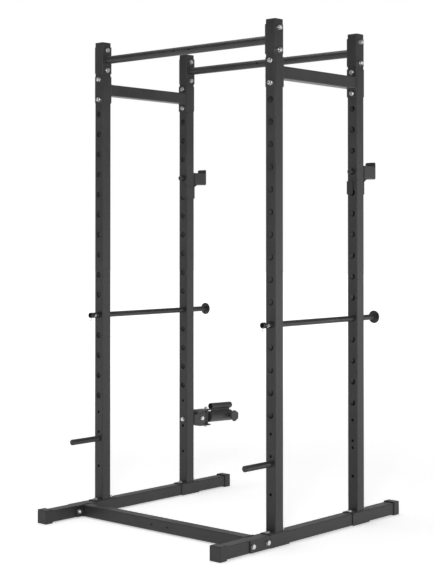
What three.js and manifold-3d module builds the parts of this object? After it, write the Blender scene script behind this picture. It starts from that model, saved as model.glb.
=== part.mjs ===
// Power cage: four drilled square-tube uprights on two base rails, tied by a rear cross tube,
// two top side rails and two pull-up bars. It carries two pull-out safety rods with spring clips,
// two turn-in bar hooks, two plate pegs and a swivelling landmine sleeve.
// Millimetres, +Z up, front (the walk-in side) towards -Y.
import * as THREE from "three";
import { mergeVertices } from "three/addons/utils/BufferGeometryUtils.js";
import Module from "manifold-3d";

const wasm = await Module();
wasm.setup();

// ---- driving dimensions ----
const gap = 0.3; // clearance between parts that bear on each other
const spanX = 1000; // upright centres, side to side
const spanY = 550; // upright centres, front to back
const tubeSize = 50; // all square tube is 50 x 50
const tubeWall = 2;
const tubeCorner = 3;
const plate = 3; // bent bracket plate
const uprightTop = 2100;
const capPlug = 14; // length of a cap inside the tube
const capRim = 2.5;
const capCrownHalf = 19;

const holePitch = 90;
const holeCount = 15;
const firstHole = 522; // height of the lowest rod hole
const holeRadius = 13.5;
const boltRadius = 6; // M12 throughout
const boltHoleRadius = 6.6;
const spareHoles = [207, 448]; // accessory bolt holes below the rod holes
const pegHeight = 329;
const landmineBoltHeight = 359;

const railLift = 5; // the end caps hold the rails off the floor
const railFront = 560; // front end of the base rails, caps included
const railRear = 632;
const railCapLength = 38;
const railCapWall = 5;
const footLength = 120;
const footBoltOffset = 45;
const crossY = 397; // cross tube behind the rear uprights
const crossPlate = 4;
const crossPlateLength = 120;

const bracketHeight = 120;
const bracketBoltOffset = 45;
const ventRadius = 8;
const barHeight = 2025; // pull-up bars
const barRadius = 17.5;
const barHoleOffset = 45;
const barHoleRadius = 4;
const sideRailHeight = 1893;

const rodRadius = 12;
const rodHole = 4; // the rods sit in this rod hole, counted from the lowest
const rodFront = 412; // outer face of the stop disc, in front of the centre
const rodRear = 352;
const discRadius = 27.5;
const discThickness = 6;
const clipWire = 2;
const clipInset = 16; // clip hole to the rod's rear end
const clipTurn = THREE.MathUtils.degToRad(-28);
const clipFoot = -31; // foot of the clip's straight leg, from the rod's axis
const clipHoleRadius = 3;

const pegRadius = 12.5;
const pegLength = 156;
const pegRootWall = 14;
const pegPlug = 12; // length of the end cap inside the peg

const hookHole = 11; // the bar hooks hang in this rod hole
const hookPinRadius = 11;
const hookPlate = 4;
const hookReach = 88; // tray length in front of the upright
const hookTrayLow = -30; // tray edges, from the pin's axis
const hookTrayHigh = 25;
const hookLip = 44;
const gussetReach = 18; // triangular gussets under the tray, against the spine
const gussetDrop = 12;
const linerRise = 2; // the liner's top stands this far above the tray's edges
const linerDepth = 16;
const wrapHigh = -40; // the cheek and heel that wrap the upright, from the pin's axis
const wrapLow = -97;
const heelWidth = 34;
const hookPinEnd = 22; // the pin stands this far out behind the upright

const bracketCheekReach = 80;
const bracketCheekHigh = 22;
const bracketCheekX = 26.3;
const tiltPivotY = 52; // from the upright's front face
const tiltPivotHeight = 356;
const stopReach = 22.6;
const stopHigh = -16;
const stopHalfWidth = 15;
const swivelPivotY = 111;
const swivelHead = 11;
const forkHalfHeight = 38;
const forkWall = 4;
const forkRear = 24;
const forkCheekFront = 78;
// The fork's rear corners are rounded about the tilt bolt, so that they clear the wall bolt.
const forkRearRound = 39.5;
const sleeveRadius = 26.5;
const sleeveBore = 25;
const sleeveStart = 126;
const sleeveEnd = 290;
const sleeveRootPlate = 5;
const barrelRadius = 13;
const smallTubeRadius = 15;
const smallTubeBore = 13;
const smallTubeStart = 144;
const smallTubeEnd = 288;
const smallTubeHeight = 50; // above the sleeve's axis
const ribHalfWidth = 4; // rib between the two tubes
const ribInset = 8;
const lugHalfWidth = 8; // lug between the barrel and the sleeve
const lugHalfHeight = 16;
const knobStation = 270;
const knobRadius = 27;
const knobThickness = 12;
const knobLobes = 6;
const lobeDepth = 3;
const knobStem = 14;
const knobBossRadius = 11;
const landmineDroop = THREE.MathUtils.degToRad(2.2); // the sleeve rests on its stop, nose down

const halfTube = tubeSize / 2;
const halfX = spanX / 2;
const halfY = spanY / 2;
const railTop = railLift + tubeSize;
const rodHeight = firstHole + rodHole * holePitch;
const hookHeight = firstHole + hookHole * holePitch;
const bracketInside = halfTube + gap;
const bracketOutside = bracketInside + plate;

// ---- materials ----
const paint = () => new THREE.MeshStandardMaterial({ color: 0x2e2e31, roughness: 0.5, metalness: 0.3 });
const zinc = () => new THREE.MeshStandardMaterial({ color: 0xc4c8c6, roughness: 0.3, metalness: 0.9 });
const plastic = () => new THREE.MeshStandardMaterial({ color: 0x1c1c1d, roughness: 0.65, metalness: 0 });

// ---- solids ----
function solidOf(geometry) {
  const bare = geometry.index ? geometry.toNonIndexed() : geometry.clone();
  bare.deleteAttribute("normal");
  bare.deleteAttribute("uv");
  const merged = mergeVertices(bare, 1e-4);
  const vertProperties = merged.attributes.position.array;
  const triVerts = new Uint32Array(merged.index.array);
  return new wasm.Manifold(new wasm.Mesh({ numProp: 3, vertProperties, triVerts }));
}

function geometryOf(solid) {
  const mesh = solid.getMesh();
  const positions = new Float32Array(mesh.numVert * 3);
  for (let i = 0; i < mesh.numVert; i++) {
    positions.set(mesh.vertProperties.subarray(i * mesh.numProp, i * mesh.numProp + 3), i * 3);
  }
  const geometry = new THREE.BufferGeometry();
  geometry.setAttribute("position", new THREE.BufferAttribute(positions, 3));
  geometry.setIndex(new THREE.BufferAttribute(mesh.triVerts, 1));
  geometry.computeVertexNormals();
  return geometry;
}

const join = (...solids) => solids.reduce((whole, next) => whole.add(next));
const cut = (solid, ...tools) => tools.reduce((rest, tool) => rest.subtract(tool), solid);

// A block between two corners.
function block([x0, y0, z0], [x1, y1, z1]) {
  const box = new THREE.BoxGeometry(x1 - x0, y1 - y0, z1 - z0);
  return solidOf(box.translate((x0 + x1) / 2, (y0 + y1) / 2, (z0 + z1) / 2));
}

// Turns a geometry that stands along +Z so that it stands along +X, +Y or +Z.
function alongAxis(geometry, axis) {
  if (axis === "x") return geometry.rotateY(Math.PI / 2);
  if (axis === "y") return geometry.rotateX(-Math.PI / 2);
  return geometry;
}

// A round bar centred on a point, along an axis.
function roundBar(radius, length, axis, [x, y, z], sides = 16) {
  const bar = new THREE.CylinderGeometry(radius, radius, length, sides).rotateX(Math.PI / 2);
  return solidOf(alongAxis(bar, axis).translate(x, y, z));
}

// A solid of revolution about +Z; the profile's points are [radius, height], upwards.
function turned(profile, sides) {
  const points = profile.map(([r, z]) => new THREE.Vector2(r, z));
  return new THREE.LatheGeometry(points, sides).rotateX(Math.PI / 2);
}

function squareOutline(half, corner) {
  const outline = new THREE.Shape();
  outline.moveTo(half - corner, -half);
  outline.absarc(half - corner, -half + corner, corner, -Math.PI / 2, 0);
  outline.absarc(half - corner, half - corner, corner, 0, Math.PI / 2);
  outline.absarc(-half + corner, half - corner, corner, Math.PI / 2, Math.PI);
  outline.absarc(-half + corner, -half + corner, corner, Math.PI, Math.PI * 1.5);
  outline.closePath();
  return outline;
}

// A square tube from 0 to its length, along an axis.
function squareTube(length, axis) {
  const section = squareOutline(halfTube, tubeCorner);
  section.holes.push(squareOutline(halfTube - tubeWall, tubeCorner - tubeWall));
  const tube = new THREE.ExtrudeGeometry(section, { depth: length, bevelEnabled: false, curveSegments: 2 });
  return solidOf(alongAxis(tube, axis));
}

// A bolt along +Z with its head's underside at 0 and, over the grip, an optional nut.
function boltGeometry(grip, { nut = true, headRadius = 11, head = 7.5, nutHeight = 10, tail = 4 } = {}) {
  const profile = [[0, -head], [headRadius, -head], [headRadius, 0], [boltRadius, 0], [boltRadius, grip]];
  if (nut) {
    profile.push([headRadius, grip], [headRadius, grip + nutHeight]);
    profile.push([boltRadius, grip + nutHeight], [boltRadius, grip + nutHeight + tail]);
  }
  profile.push([0, profile.at(-1)[1]]);
  return turned(profile, 6);
}

// ---- the assembly ----
const cage = new THREE.Group();

function addMesh(parent, name, solid, material, position = [0, 0, 0]) {
  const geometry = solid.isBufferGeometry ? solid : geometryOf(solid);
  const mesh = new THREE.Mesh(geometry, material);
  mesh.name = name;
  mesh.position.set(...position);
  parent.add(mesh);
  return mesh;
}

const corners = [
  { name: "front_left", x: -1, y: -1 },
  { name: "front_right", x: 1, y: -1 },
  { name: "rear_left", x: -1, y: 1 },
  { name: "rear_right", x: 1, y: 1 },
];
const sides = [
  { name: "left", x: -1 },
  { name: "right", x: 1 },
];
const ends = [
  { name: "front", y: -1 },
  { name: "rear", y: 1 },
];

// Upright: drilled tube welded to an inverted channel that sits over the base rail.
function uprightSolid() {
  const seat = railTop + gap;
  const tube = squareTube(uprightTop - seat - 1, "z").translate([0, 0, seat + 1]);
  const reach = footLength / 2;
  const channel = block([-bracketOutside, -reach, plate], [bracketOutside, reach, seat + plate]);
  const railSpace = block([-bracketInside, -footLength, 0], [bracketInside, footLength, seat]);
  const holes = [];
  for (let i = 0; i < holeCount; i++) {
    holes.push(roundBar(holeRadius, 2 * tubeSize, "y", [0, 0, firstHole + i * holePitch], 10));
  }
  for (const side of [-1, 1]) {
    const boltRise = side * bracketBoltOffset;
    holes.push(roundBar(boltHoleRadius, 2 * tubeSize, "y", [0, 0, sideRailHeight + boltRise], 8));
    holes.push(roundBar(boltHoleRadius, 2 * tubeSize, "x", [0, 0, barHeight + boltRise], 8));
    holes.push(roundBar(boltHoleRadius, tubeSize, "z", [0, side * footBoltOffset, seat], 8));
  }
  for (const height of [...spareHoles, pegHeight, landmineBoltHeight]) {
    holes.push(roundBar(boltHoleRadius, 2 * tubeSize, "y", [0, 0, height], 8));
  }
  return cut(join(tube, cut(channel, railSpace)), ...holes);
}

// Moulded cap for the upright: a plug in the tube under a slightly crowned head.
function uprightCapSolid() {
  const plug = halfTube - tubeWall - 2 * gap;
  const headLow = uprightTop + gap;
  const crown = new THREE.CylinderGeometry(capCrownHalf * Math.SQRT2, halfTube * Math.SQRT2, capRim, 4);
  crown.rotateY(Math.PI / 4).rotateX(Math.PI / 2).translate(0, 0, headLow + 1.5 * capRim);
  return join(
    block([-plug, -plug, headLow - capPlug], [plug, plug, headLow + 1]),
    block([-halfTube, -halfTube, headLow], [halfTube, halfTube, headLow + capRim]),
    solidOf(crown),
  );
}

const uprightGeometry = geometryOf(uprightSolid());
const uprightCapGeometry = geometryOf(uprightCapSolid());
for (const corner of corners) {
  const place = [corner.x * halfX, corner.y * halfY, 0];
  addMesh(cage, "upright_" + corner.name, uprightGeometry, paint(), place);
  addMesh(cage, "upright_cap_" + corner.name, uprightCapGeometry, plastic(), place);
}

// Base rail, drilled for the foot bolts above and the cross-tube bolts through its sides.
function baseRailSolid() {
  const tubeFront = -(railFront - railCapWall);
  const length = railFront + railRear - 2 * railCapWall;
  const tube = squareTube(length, "y").translate([0, tubeFront, railLift + halfTube]);
  const holes = [];
  for (const side of [-1, 1]) {
    for (const y of [-halfY, halfY]) {
      holes.push(roundBar(boltHoleRadius, tubeSize, "z", [0, y + side * footBoltOffset, railTop], 8));
    }
    const boltY = crossY + side * bracketBoltOffset;
    holes.push(roundBar(boltHoleRadius, 2 * tubeSize, "x", [0, boltY, railLift + halfTube], 8));
  }
  return cut(tube, ...holes);
}

// Moulded cap that slips over the end of a base rail and is the foot that stands on the floor.
function railCapSolid(y) {
  const outerEnd = y < 0 ? -railFront : railRear;
  const innerEnd = outerEnd - y * railCapLength;
  const wallEnd = outerEnd - y * (railCapWall - gap);
  const [low, high] = [Math.min(outerEnd, innerEnd), Math.max(outerEnd, innerEnd)];
  const [cavityLow, cavityHigh] = y < 0 ? [wallEnd, high + 1] : [low - 1, wallEnd];
  return cut(
    block([-bracketOutside, low, 0], [bracketOutside, high, railTop + railCapWall]),
    block([-bracketInside, cavityLow, railLift - gap], [bracketInside, cavityHigh, railTop + gap]),
  );
}

// Flat plate with two bolt holes, standing on its edge along Y, its middle at crossY.
function crossPlateSolid(inner, outer) {
  const [low, high] = [Math.min(inner, outer), Math.max(inner, outer)];
  const reach = crossPlateLength / 2;
  const holes = [-1, 1].map((side) => {
    const y = crossY + side * bracketBoltOffset;
    return roundBar(boltHoleRadius, tubeSize, "x", [inner, y, railLift + halfTube], 8);
  });
  return cut(block([low, crossY - reach, railLift], [high, crossY + reach, railTop]), ...holes);
}

const baseRailGeometry = geometryOf(baseRailSolid());
for (const side of sides) {
  addMesh(cage, "base_rail_" + side.name, baseRailGeometry, paint(), [side.x * halfX, 0, 0]);
  for (const end of ends) {
    const name = "rail_cap_" + end.name + "_" + side.name;
    addMesh(cage, name, railCapSolid(end.y), plastic(), [side.x * halfX, 0, 0]);
  }
  const outside = side.x * (halfX + bracketInside);
  const backing = crossPlateSolid(outside, outside + side.x * crossPlate);
  addMesh(cage, "backing_plate_" + side.name, backing, paint());
}

// Rear cross tube with an end plate welded on each end.
const crossEnd = halfX - bracketInside;
const crossTube = squareTube(2 * (crossEnd - 1), "x").translate([1 - crossEnd, crossY, railLift + halfTube]);
const crossPlates = sides.map((side) => crossPlateSolid(side.x * crossEnd, side.x * (crossEnd - crossPlate)));
const crossHoles = [-barHoleOffset, barHoleOffset].map((x) => {
  return roundBar(barHoleRadius, 2 * tubeSize, "y", [x, crossY, railLift + halfTube], 6);
});
addMesh(cage, "rear_cross_tube", cut(join(crossTube, ...crossPlates), ...crossHoles), paint());

// Channel bracket that wraps three sides of an upright at the origin: its web faces -Y and has a
// vent hole into the tube welded on it.
function channelBracket() {
  const half = bracketHeight / 2;
  const holes = [-1, 1].map((side) => {
    return roundBar(boltHoleRadius, tubeSize, "y", [0, -bracketInside, side * bracketBoltOffset], 8);
  });
  return cut(
    block([-bracketOutside, -bracketOutside, -half], [bracketOutside, halfTube - 2, half]),
    block([-bracketInside, -bracketInside, -bracketHeight], [bracketInside, tubeSize, bracketHeight]),
    roundBar(ventRadius, tubeSize, "y", [0, -bracketInside, 0], 6),
    ...holes,
  );
}

// Side rail: square tube with a bracket welded on each end, whose webs face each other.
const sideRailReach = halfY - bracketOutside + 1;
const sideRail = join(
  squareTube(2 * sideRailReach, "y").translate([0, -sideRailReach, 0]),
  channelBracket().translate([0, halfY, 0]),
  channelBracket().rotate([0, 0, 180]).translate([0, -halfY, 0]),
);
for (const side of sides) {
  addMesh(cage, "side_rail_" + side.name, sideRail, paint(), [side.x * halfX, 0, sideRailHeight]);
}

// Pull-up bar: round tube with a bracket welded on each end and two small cross holes near its middle.
function pullUpBarSolid() {
  const reach = halfX - bracketOutside + 1;
  const holes = [-1, 1].map((side) => {
    return roundBar(barHoleRadius, tubeSize, "y", [side * barHoleOffset, 0, 0], 6);
  });
  const bore = roundBar(barRadius - tubeWall, 2 * (reach - plate), "x", [0, 0, 0]);
  return join(
    cut(roundBar(barRadius, 2 * reach, "x", [0, 0, 0]), bore, ...holes),
    channelBracket().rotate([0, 0, -90]).translate([halfX, 0, 0]),
    channelBracket().rotate([0, 0, 90]).translate([-halfX, 0, 0]),
  );
}
const pullUpBar = pullUpBarSolid();
for (const end of ends) {
  addMesh(cage, "pull_up_bar_" + end.name, pullUpBar, paint(), [0, end.y * halfY, barHeight]);
}

// Through bolts: each bracket has one above and one below its tube, with the head on the web.
const throughGrip = tubeSize + plate + 4 * gap;
for (const corner of corners) {
  for (const [level, rise] of [["low", -1], ["high", 1]]) {
    const barBolt = addMesh(
      cage, "bar_bolt_" + corner.name + "_" + level, boltGeometry(throughGrip), zinc(),
      [corner.x * (halfX - bracketOutside - gap), corner.y * halfY, barHeight + rise * bracketBoltOffset],
    );
    barBolt.rotation.y = (corner.x * Math.PI) / 2;
    const railBoltY = corner.y * (halfY - bracketOutside - gap);
    const railBolt = addMesh(
      cage, "side_rail_bolt_" + corner.name + "_" + level, boltGeometry(throughGrip), zinc(),
      [corner.x * halfX, railBoltY, sideRailHeight + rise * bracketBoltOffset],
    );
    railBolt.rotation.x = (-corner.y * Math.PI) / 2;
  }
}

// Safety rod: tube with a stop disc welded on its front end and a cross hole for the clip.
function safetyRodSolid() {
  const bore = rodRadius - tubeWall;
  const length = rodFront + rodRear;
  const profile = [
    [0, 0], [discRadius, 0], [discRadius, discThickness], [rodRadius, discThickness],
    [rodRadius, length], [bore, length], [bore, discThickness], [0, discThickness],
  ];
  const rod = turned(profile, 16).rotateX(-Math.PI / 2).translate(0, -rodFront, 0);
  const hole = new THREE.CylinderGeometry(clipHoleRadius, clipHoleRadius, 4 * rodRadius, 8);
  hole.rotateX(Math.PI / 2).rotateY(clipTurn).translate(0, rodRear - clipInset, 0);
  return cut(solidOf(rod), solidOf(hole));
}

// Spring clip of round wire about the rod's axis: a straight leg through the rod, a bow above it,
// and a second leg that comes down past the rod's side and flares out at its foot.
function clipGeometry() {
  const point = (x, z) => new THREE.Vector3(x, 0, z);
  const legTop = rodRadius + clipWire + 1;
  const bowTop = legTop + 9;
  const side = -(rodRadius + 2 * clipWire + 1);
  const route = new THREE.CurvePath();
  route.add(new THREE.LineCurve3(point(0, clipFoot), point(0, legTop)));
  route.add(new THREE.CatmullRomCurve3([
    point(0, legTop), point(side * 0.2, bowTop - 2), point(side * 0.5, bowTop),
    point(side * 0.85, bowTop - 3), point(side, legTop - 4), point(side, 0), point(side - 4, -rodRadius),
  ]));
  const section = new THREE.Shape();
  section.absarc(0, 0, clipWire, 0, 2 * Math.PI);
  return new THREE.ExtrudeGeometry(section, { steps: 26, extrudePath: route, curveSegments: 3 });
}

const rodSolid = safetyRodSolid();
for (const side of sides) {
  addMesh(cage, "safety_rod_" + side.name, rodSolid, paint(), [side.x * halfX, 0, rodHeight]);
  const place = [side.x * halfX, rodRear - clipInset, rodHeight];
  const clip = addMesh(cage, "rod_clip_" + side.name, solidOf(clipGeometry()), zinc(), place);
  clip.rotation.y = clipTurn;
}

// Plate peg: tube with a drilled root wall, drawn against the upright by a bolt, and an end cap.
function pegSolid() {
  const bore = pegRadius - tubeWall;
  const profile = [
    [boltHoleRadius, 0], [pegRadius, 0], [pegRadius, pegLength], [bore, pegLength],
    [bore, pegRootWall], [boltHoleRadius, pegRootWall], [boltHoleRadius, 0],
  ];
  return solidOf(turned(profile, 12).rotateX(-Math.PI / 2));
}
function pegCapSolid() {
  const plug = pegRadius - tubeWall - gap;
  const low = pegLength - pegPlug;
  const rim = pegLength + gap;
  const profile = [[0, low], [plug, low], [plug, rim], [pegRadius, rim], [pegRadius, rim + 3], [0, rim + 4]];
  return solidOf(turned(profile, 12).rotateX(-Math.PI / 2));
}
const pegBoltGrip = tubeSize + pegRootWall - 2;
for (const side of sides) {
  const place = [side.x * halfX, halfY + bracketInside, pegHeight];
  addMesh(cage, "plate_peg_" + side.name, pegSolid(), paint(), place);
  addMesh(cage, "plate_peg_cap_" + side.name, pegCapSolid(), plastic(), place);
  const boltPlace = [side.x * halfX, halfY - bracketInside, pegHeight];
  const bolt = boltGeometry(pegBoltGrip, { nut: false });
  addMesh(cage, "plate_peg_bolt_" + side.name, bolt, zinc(), boltPlace).rotation.x = -Math.PI / 2;
}

// Bar hook about its pin's axis, for an upright at the origin. inner is +1 or -1, the side on
// which the cheek wraps round to the heel behind the upright.
function barHookSolid(inner) {
  const face = -bracketInside;
  const spine = face - hookPlate;
  const tip = face - hookReach;
  const cheekOut = bracketInside + hookPlate;
  const span = (from, to) => [Math.min(inner * from, inner * to), Math.max(inner * from, inner * to)];
  const [cheekLow, cheekHigh] = span(bracketInside, cheekOut);
  const [heelLow, heelHigh] = span(cheekOut - heelWidth, cheekOut);
  const pinLength = hookPinEnd + bracketInside - spine + halfTube - gap;
  const trayHalf = halfTube + 2;
  const tray = cut(
    block([-trayHalf, tip, hookTrayLow], [trayHalf, spine + 1, hookTrayHigh]),
    block([-trayHalf + plate, tip + plate, hookTrayLow + plate], [trayHalf - plate, spine, hookLip]),
  );
  const wedge = new THREE.Shape();
  wedge.moveTo(spine + 1, hookTrayLow + 1);
  wedge.lineTo(spine - gussetReach, hookTrayLow + 1);
  wedge.lineTo(spine + 1, hookTrayLow - gussetDrop);
  wedge.closePath();
  const gussets = [-trayHalf, trayHalf - plate].map((x) => {
    const gusset = new THREE.ExtrudeGeometry(wedge, { depth: plate, bevelEnabled: false });
    return solidOf(gusset.rotateX(Math.PI / 2).rotateZ(Math.PI / 2).translate(x, 0, 0));
  });
  return join(
    ...gussets,
    roundBar(hookPinRadius, pinLength, "y", [0, spine + pinLength / 2, 0], 12),
    block([-halfTube, spine, wrapLow], [halfTube, face, hookTrayHigh]),
    block([Math.min(cheekLow, 0), spine, wrapLow], [Math.max(cheekHigh, 0), face, wrapHigh]),
    block([cheekLow, spine, wrapLow], [cheekHigh, cheekOut, wrapHigh]),
    block([heelLow, bracketInside, wrapLow], [heelHigh, cheekOut, wrapHigh]),
    tray,
    block([-trayHalf, tip, hookTrayLow], [trayHalf, tip + plate, hookLip]),
  );
}

// Moulded liner on which the bar rests: it fills the top of the tray and lines the lip.
function hookLinerSolid() {
  const half = halfTube + 2 - plate - gap;
  const back = -bracketInside - hookPlate - gap;
  const front = -bracketInside - hookReach + plate + gap;
  const top = hookTrayHigh + linerRise;
  return join(
    block([-half, front, top - linerDepth], [half, back, top]),
    block([-half, front, top - 1], [half, front + 5, hookLip - 2]),
  );
}
const hookLiner = hookLinerSolid();
for (const side of sides) {
  const place = [side.x * halfX, -halfY, hookHeight];
  addMesh(cage, "bar_hook_" + side.name, barHookSolid(-side.x), paint(), place);
  addMesh(cage, "bar_hook_liner_" + side.name, hookLiner, plastic(), place);
}

// ---- landmine, in its own group at the front face of the front right upright; forward is -Y ----
const landmine = new THREE.Group();
landmine.position.set(halfX, -halfY - halfTube, tiltPivotHeight);
cage.add(landmine);
const boltRise = landmineBoltHeight - tiltPivotHeight;
const cheekOuter = bracketCheekX + plate;

// Wall bracket: back plate bolted to the upright, with a cheek on each side for the tilt bolt and
// a low stop that the fork's back comes to rest on.
const wallBracket = cut(
  join(
    block([-cheekOuter, -gap - plate, -bracketCheekHigh], [cheekOuter, -gap, bracketCheekHigh]),
    ...sides.map((side) => {
      const [low, high] = side.x < 0 ? [-cheekOuter, -bracketCheekX] : [bracketCheekX, cheekOuter];
      return block([low, -bracketCheekReach, -bracketCheekHigh], [high, -gap, bracketCheekHigh]);
    }),
    block([-stopHalfWidth, -stopReach, -bracketCheekHigh], [stopHalfWidth, -gap, stopHigh]),
  ),
  roundBar(boltHoleRadius, tubeSize, "y", [0, 0, boltRise], 8),
  roundBar(boltHoleRadius, 2 * tubeSize, "x", [0, -tiltPivotY, 0], 8),
);
addMesh(landmine, "landmine_bracket", wallBracket, paint());
const wallBolt = boltGeometry(tubeSize + plate + 3 * gap, { nutHeight: 7, tail: 1 });
const wallBoltPlace = [0, tubeSize + gap, boltRise];
const wallBoltMesh = addMesh(landmine, "landmine_wall_bolt", wallBolt, zinc(), wallBoltPlace);
wallBoltMesh.rotation.x = Math.PI / 2;
const tiltGrip = 2 * (cheekOuter + gap);
const tiltBolt = boltGeometry(tiltGrip, { nutHeight: 8, tail: 1 });
const tiltBoltPlace = [-cheekOuter - gap, -tiltPivotY, 0];
addMesh(landmine, "landmine_tilt_bolt", tiltBolt, zinc(), tiltBoltPlace).rotation.y = Math.PI / 2;

// All that tilts, built level about the tilt bolt and then turned down by the droop.
const tilting = new THREE.Group();
tilting.position.set(0, -tiltPivotY, 0);
tilting.rotation.x = landmineDroop;
landmine.add(tilting);
const swivelY = tiltPivotY - swivelPivotY;
const forwardOf = (station) => tiltPivotY - station;

// Fork: a box of plate with short side walls for the tilt bolt and long lugs above and below for
// the swivel bolt, the lugs' noses being round.
function forkSolid() {
  const half = bracketCheekX - 1;
  const back = forwardOf(forkRear);
  const outline = new THREE.Shape();
  outline.moveTo(-half, back);
  outline.lineTo(-half, swivelY);
  outline.absarc(0, swivelY, half, Math.PI, 2 * Math.PI);
  outline.lineTo(half, back);
  outline.closePath();
  const body = new THREE.ExtrudeGeometry(outline, {
    depth: 2 * forkHalfHeight, bevelEnabled: false, curveSegments: 6,
  });
  const inside = forkHalfHeight - forkWall;
  const front = 2 * swivelY;
  const roundedRear = join(
    roundBar(forkRearRound, 4 * half, "x", [0, 0, 0], 24),
    block([-2 * half, front, -forkHalfHeight], [2 * half, 0, forkHalfHeight]),
  );
  return cut(
    solidOf(body.translate(0, 0, -forkHalfHeight)).intersect(roundedRear),
    block([forkWall - half, front, -inside], [half - forkWall, back - forkWall, inside]),
    block([-2 * half, front, -inside], [2 * half, forwardOf(forkCheekFront), inside]),
    roundBar(boltHoleRadius, 4 * half, "x", [0, 0, 0], 8),
    roundBar(boltHoleRadius, 4 * half, "z", [0, swivelY, 0], 8),
  );
}
addMesh(tilting, "landmine_fork", forkSolid(), paint());
const swivelGrip = 2 * (forkHalfHeight + gap);
const swivelBolt = boltGeometry(swivelGrip, { nutHeight: 7, tail: 2, head: swivelHead });
const swivelBoltMesh = addMesh(
  tilting, "landmine_swivel_bolt", swivelBolt, zinc(), [0, swivelY, forkHalfHeight + gap],
);
swivelBoltMesh.rotation.x = Math.PI;

// Sleeve: a large tube closed at its root by a plate and an upright barrel for the swivel bolt,
// with a smaller tube welded along its top. The clamp knob's stem enters through its side.
function sleeveSolid() {
  const [rear, front] = [forwardOf(sleeveStart), forwardOf(sleeveEnd)];
  const [smallRear, smallFront] = [forwardOf(smallTubeStart), forwardOf(smallTubeEnd)];
  const barrelHalf = forkHalfHeight - forkWall - 1;
  const ribTop = smallTubeHeight - smallTubeRadius + 1;
  const middle = (from, to) => (from + to) / 2;
  const tubes = cut(
    join(
      roundBar(sleeveRadius, rear - front, "y", [0, middle(rear, front), 0], 20),
      roundBar(
        smallTubeRadius, smallRear - smallFront, "y", [0, middle(smallRear, smallFront), smallTubeHeight],
      ),
      block(
        [-ribHalfWidth, smallFront + ribInset, sleeveBore + 0.5],
        [ribHalfWidth, smallRear - ribInset, ribTop],
      ),
    ),
    roundBar(sleeveBore, rear - front, "y", [0, middle(rear, front) - sleeveRootPlate, 0], 20),
    roundBar(smallTubeBore, spanY, "y", [0, middle(rear, front), smallTubeHeight]),
    roundBar(boltHoleRadius, 2 * sleeveRadius, "x", [-sleeveRadius, forwardOf(knobStation), 0], 8),
  );
  const lug = block(
    [-lugHalfWidth, rear - 1, -lugHalfHeight],
    [lugHalfWidth, swivelY - barrelRadius / 2, lugHalfHeight],
  );
  const barrel = roundBar(barrelRadius, 2 * barrelHalf, "z", [0, swivelY, 0]);
  const barrelBore = roundBar(boltHoleRadius, 3 * barrelHalf, "z", [0, swivelY, 0], 8);
  return join(tubes, cut(join(lug, barrel), barrelBore));
}
addMesh(tilting, "landmine_sleeve", sleeveSolid(), paint());

// Clamp knob: lobed head on a threaded stem that presses on the bar end inside the sleeve.
function knobSolid() {
  const outline = new THREE.Shape();
  const steps = knobLobes * 6;
  for (let i = 0; i < steps; i++) {
    const angle = (i / steps) * 2 * Math.PI;
    const radius = knobRadius + (lobeDepth / 2) * (Math.cos(knobLobes * angle) - 1);
    const [x, y] = [radius * Math.cos(angle), radius * Math.sin(angle)];
    if (i === 0) outline.moveTo(x, y);
    else outline.lineTo(x, y);
  }
  outline.closePath();
  const head = new THREE.ExtrudeGeometry(outline, { depth: knobThickness, bevelEnabled: false });
  head.translate(0, 0, sleeveRadius + knobStem);
  const stemTop = sleeveRadius + knobStem + 1;
  const stemLength = knobStem + 12;
  const bossLength = knobStem - 3;
  return join(
    solidOf(head),
    roundBar(boltRadius, stemLength, "z", [0, 0, stemTop - stemLength / 2], 12),
    roundBar(knobBossRadius, bossLength, "z", [0, 0, stemTop - bossLength / 2], 12),
  );
}
const knob = addMesh(tilting, "landmine_knob", knobSolid(), plastic(), [0, forwardOf(knobStation), 0]);
knob.rotation.y = -Math.PI / 2;

// The frame's origin is on the floor, midway between the rear end caps and the landmine's knob.
const frameBox = new THREE.Box3().setFromObject(cage, true);
cage.position.y = -(frameBox.min.y + frameBox.max.y) / 2;

export default cage;
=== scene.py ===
import math

import bmesh
import bpy
from mathutils import Matrix, Vector


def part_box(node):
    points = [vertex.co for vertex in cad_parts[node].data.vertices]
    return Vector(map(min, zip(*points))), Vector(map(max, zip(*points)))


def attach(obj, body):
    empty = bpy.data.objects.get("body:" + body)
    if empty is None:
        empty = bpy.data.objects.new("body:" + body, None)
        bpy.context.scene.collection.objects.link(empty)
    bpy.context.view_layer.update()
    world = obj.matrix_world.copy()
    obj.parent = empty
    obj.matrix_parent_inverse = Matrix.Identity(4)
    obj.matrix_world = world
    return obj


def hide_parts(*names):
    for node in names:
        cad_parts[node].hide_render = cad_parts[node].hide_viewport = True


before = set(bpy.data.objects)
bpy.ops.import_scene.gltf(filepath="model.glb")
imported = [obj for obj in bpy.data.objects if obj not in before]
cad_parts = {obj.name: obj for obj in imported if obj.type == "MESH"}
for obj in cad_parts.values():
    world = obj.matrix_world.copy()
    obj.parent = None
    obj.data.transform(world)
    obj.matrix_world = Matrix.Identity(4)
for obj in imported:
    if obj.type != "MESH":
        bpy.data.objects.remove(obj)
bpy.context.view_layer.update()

bpy.ops.object.select_all(action="DESELECT")

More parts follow.
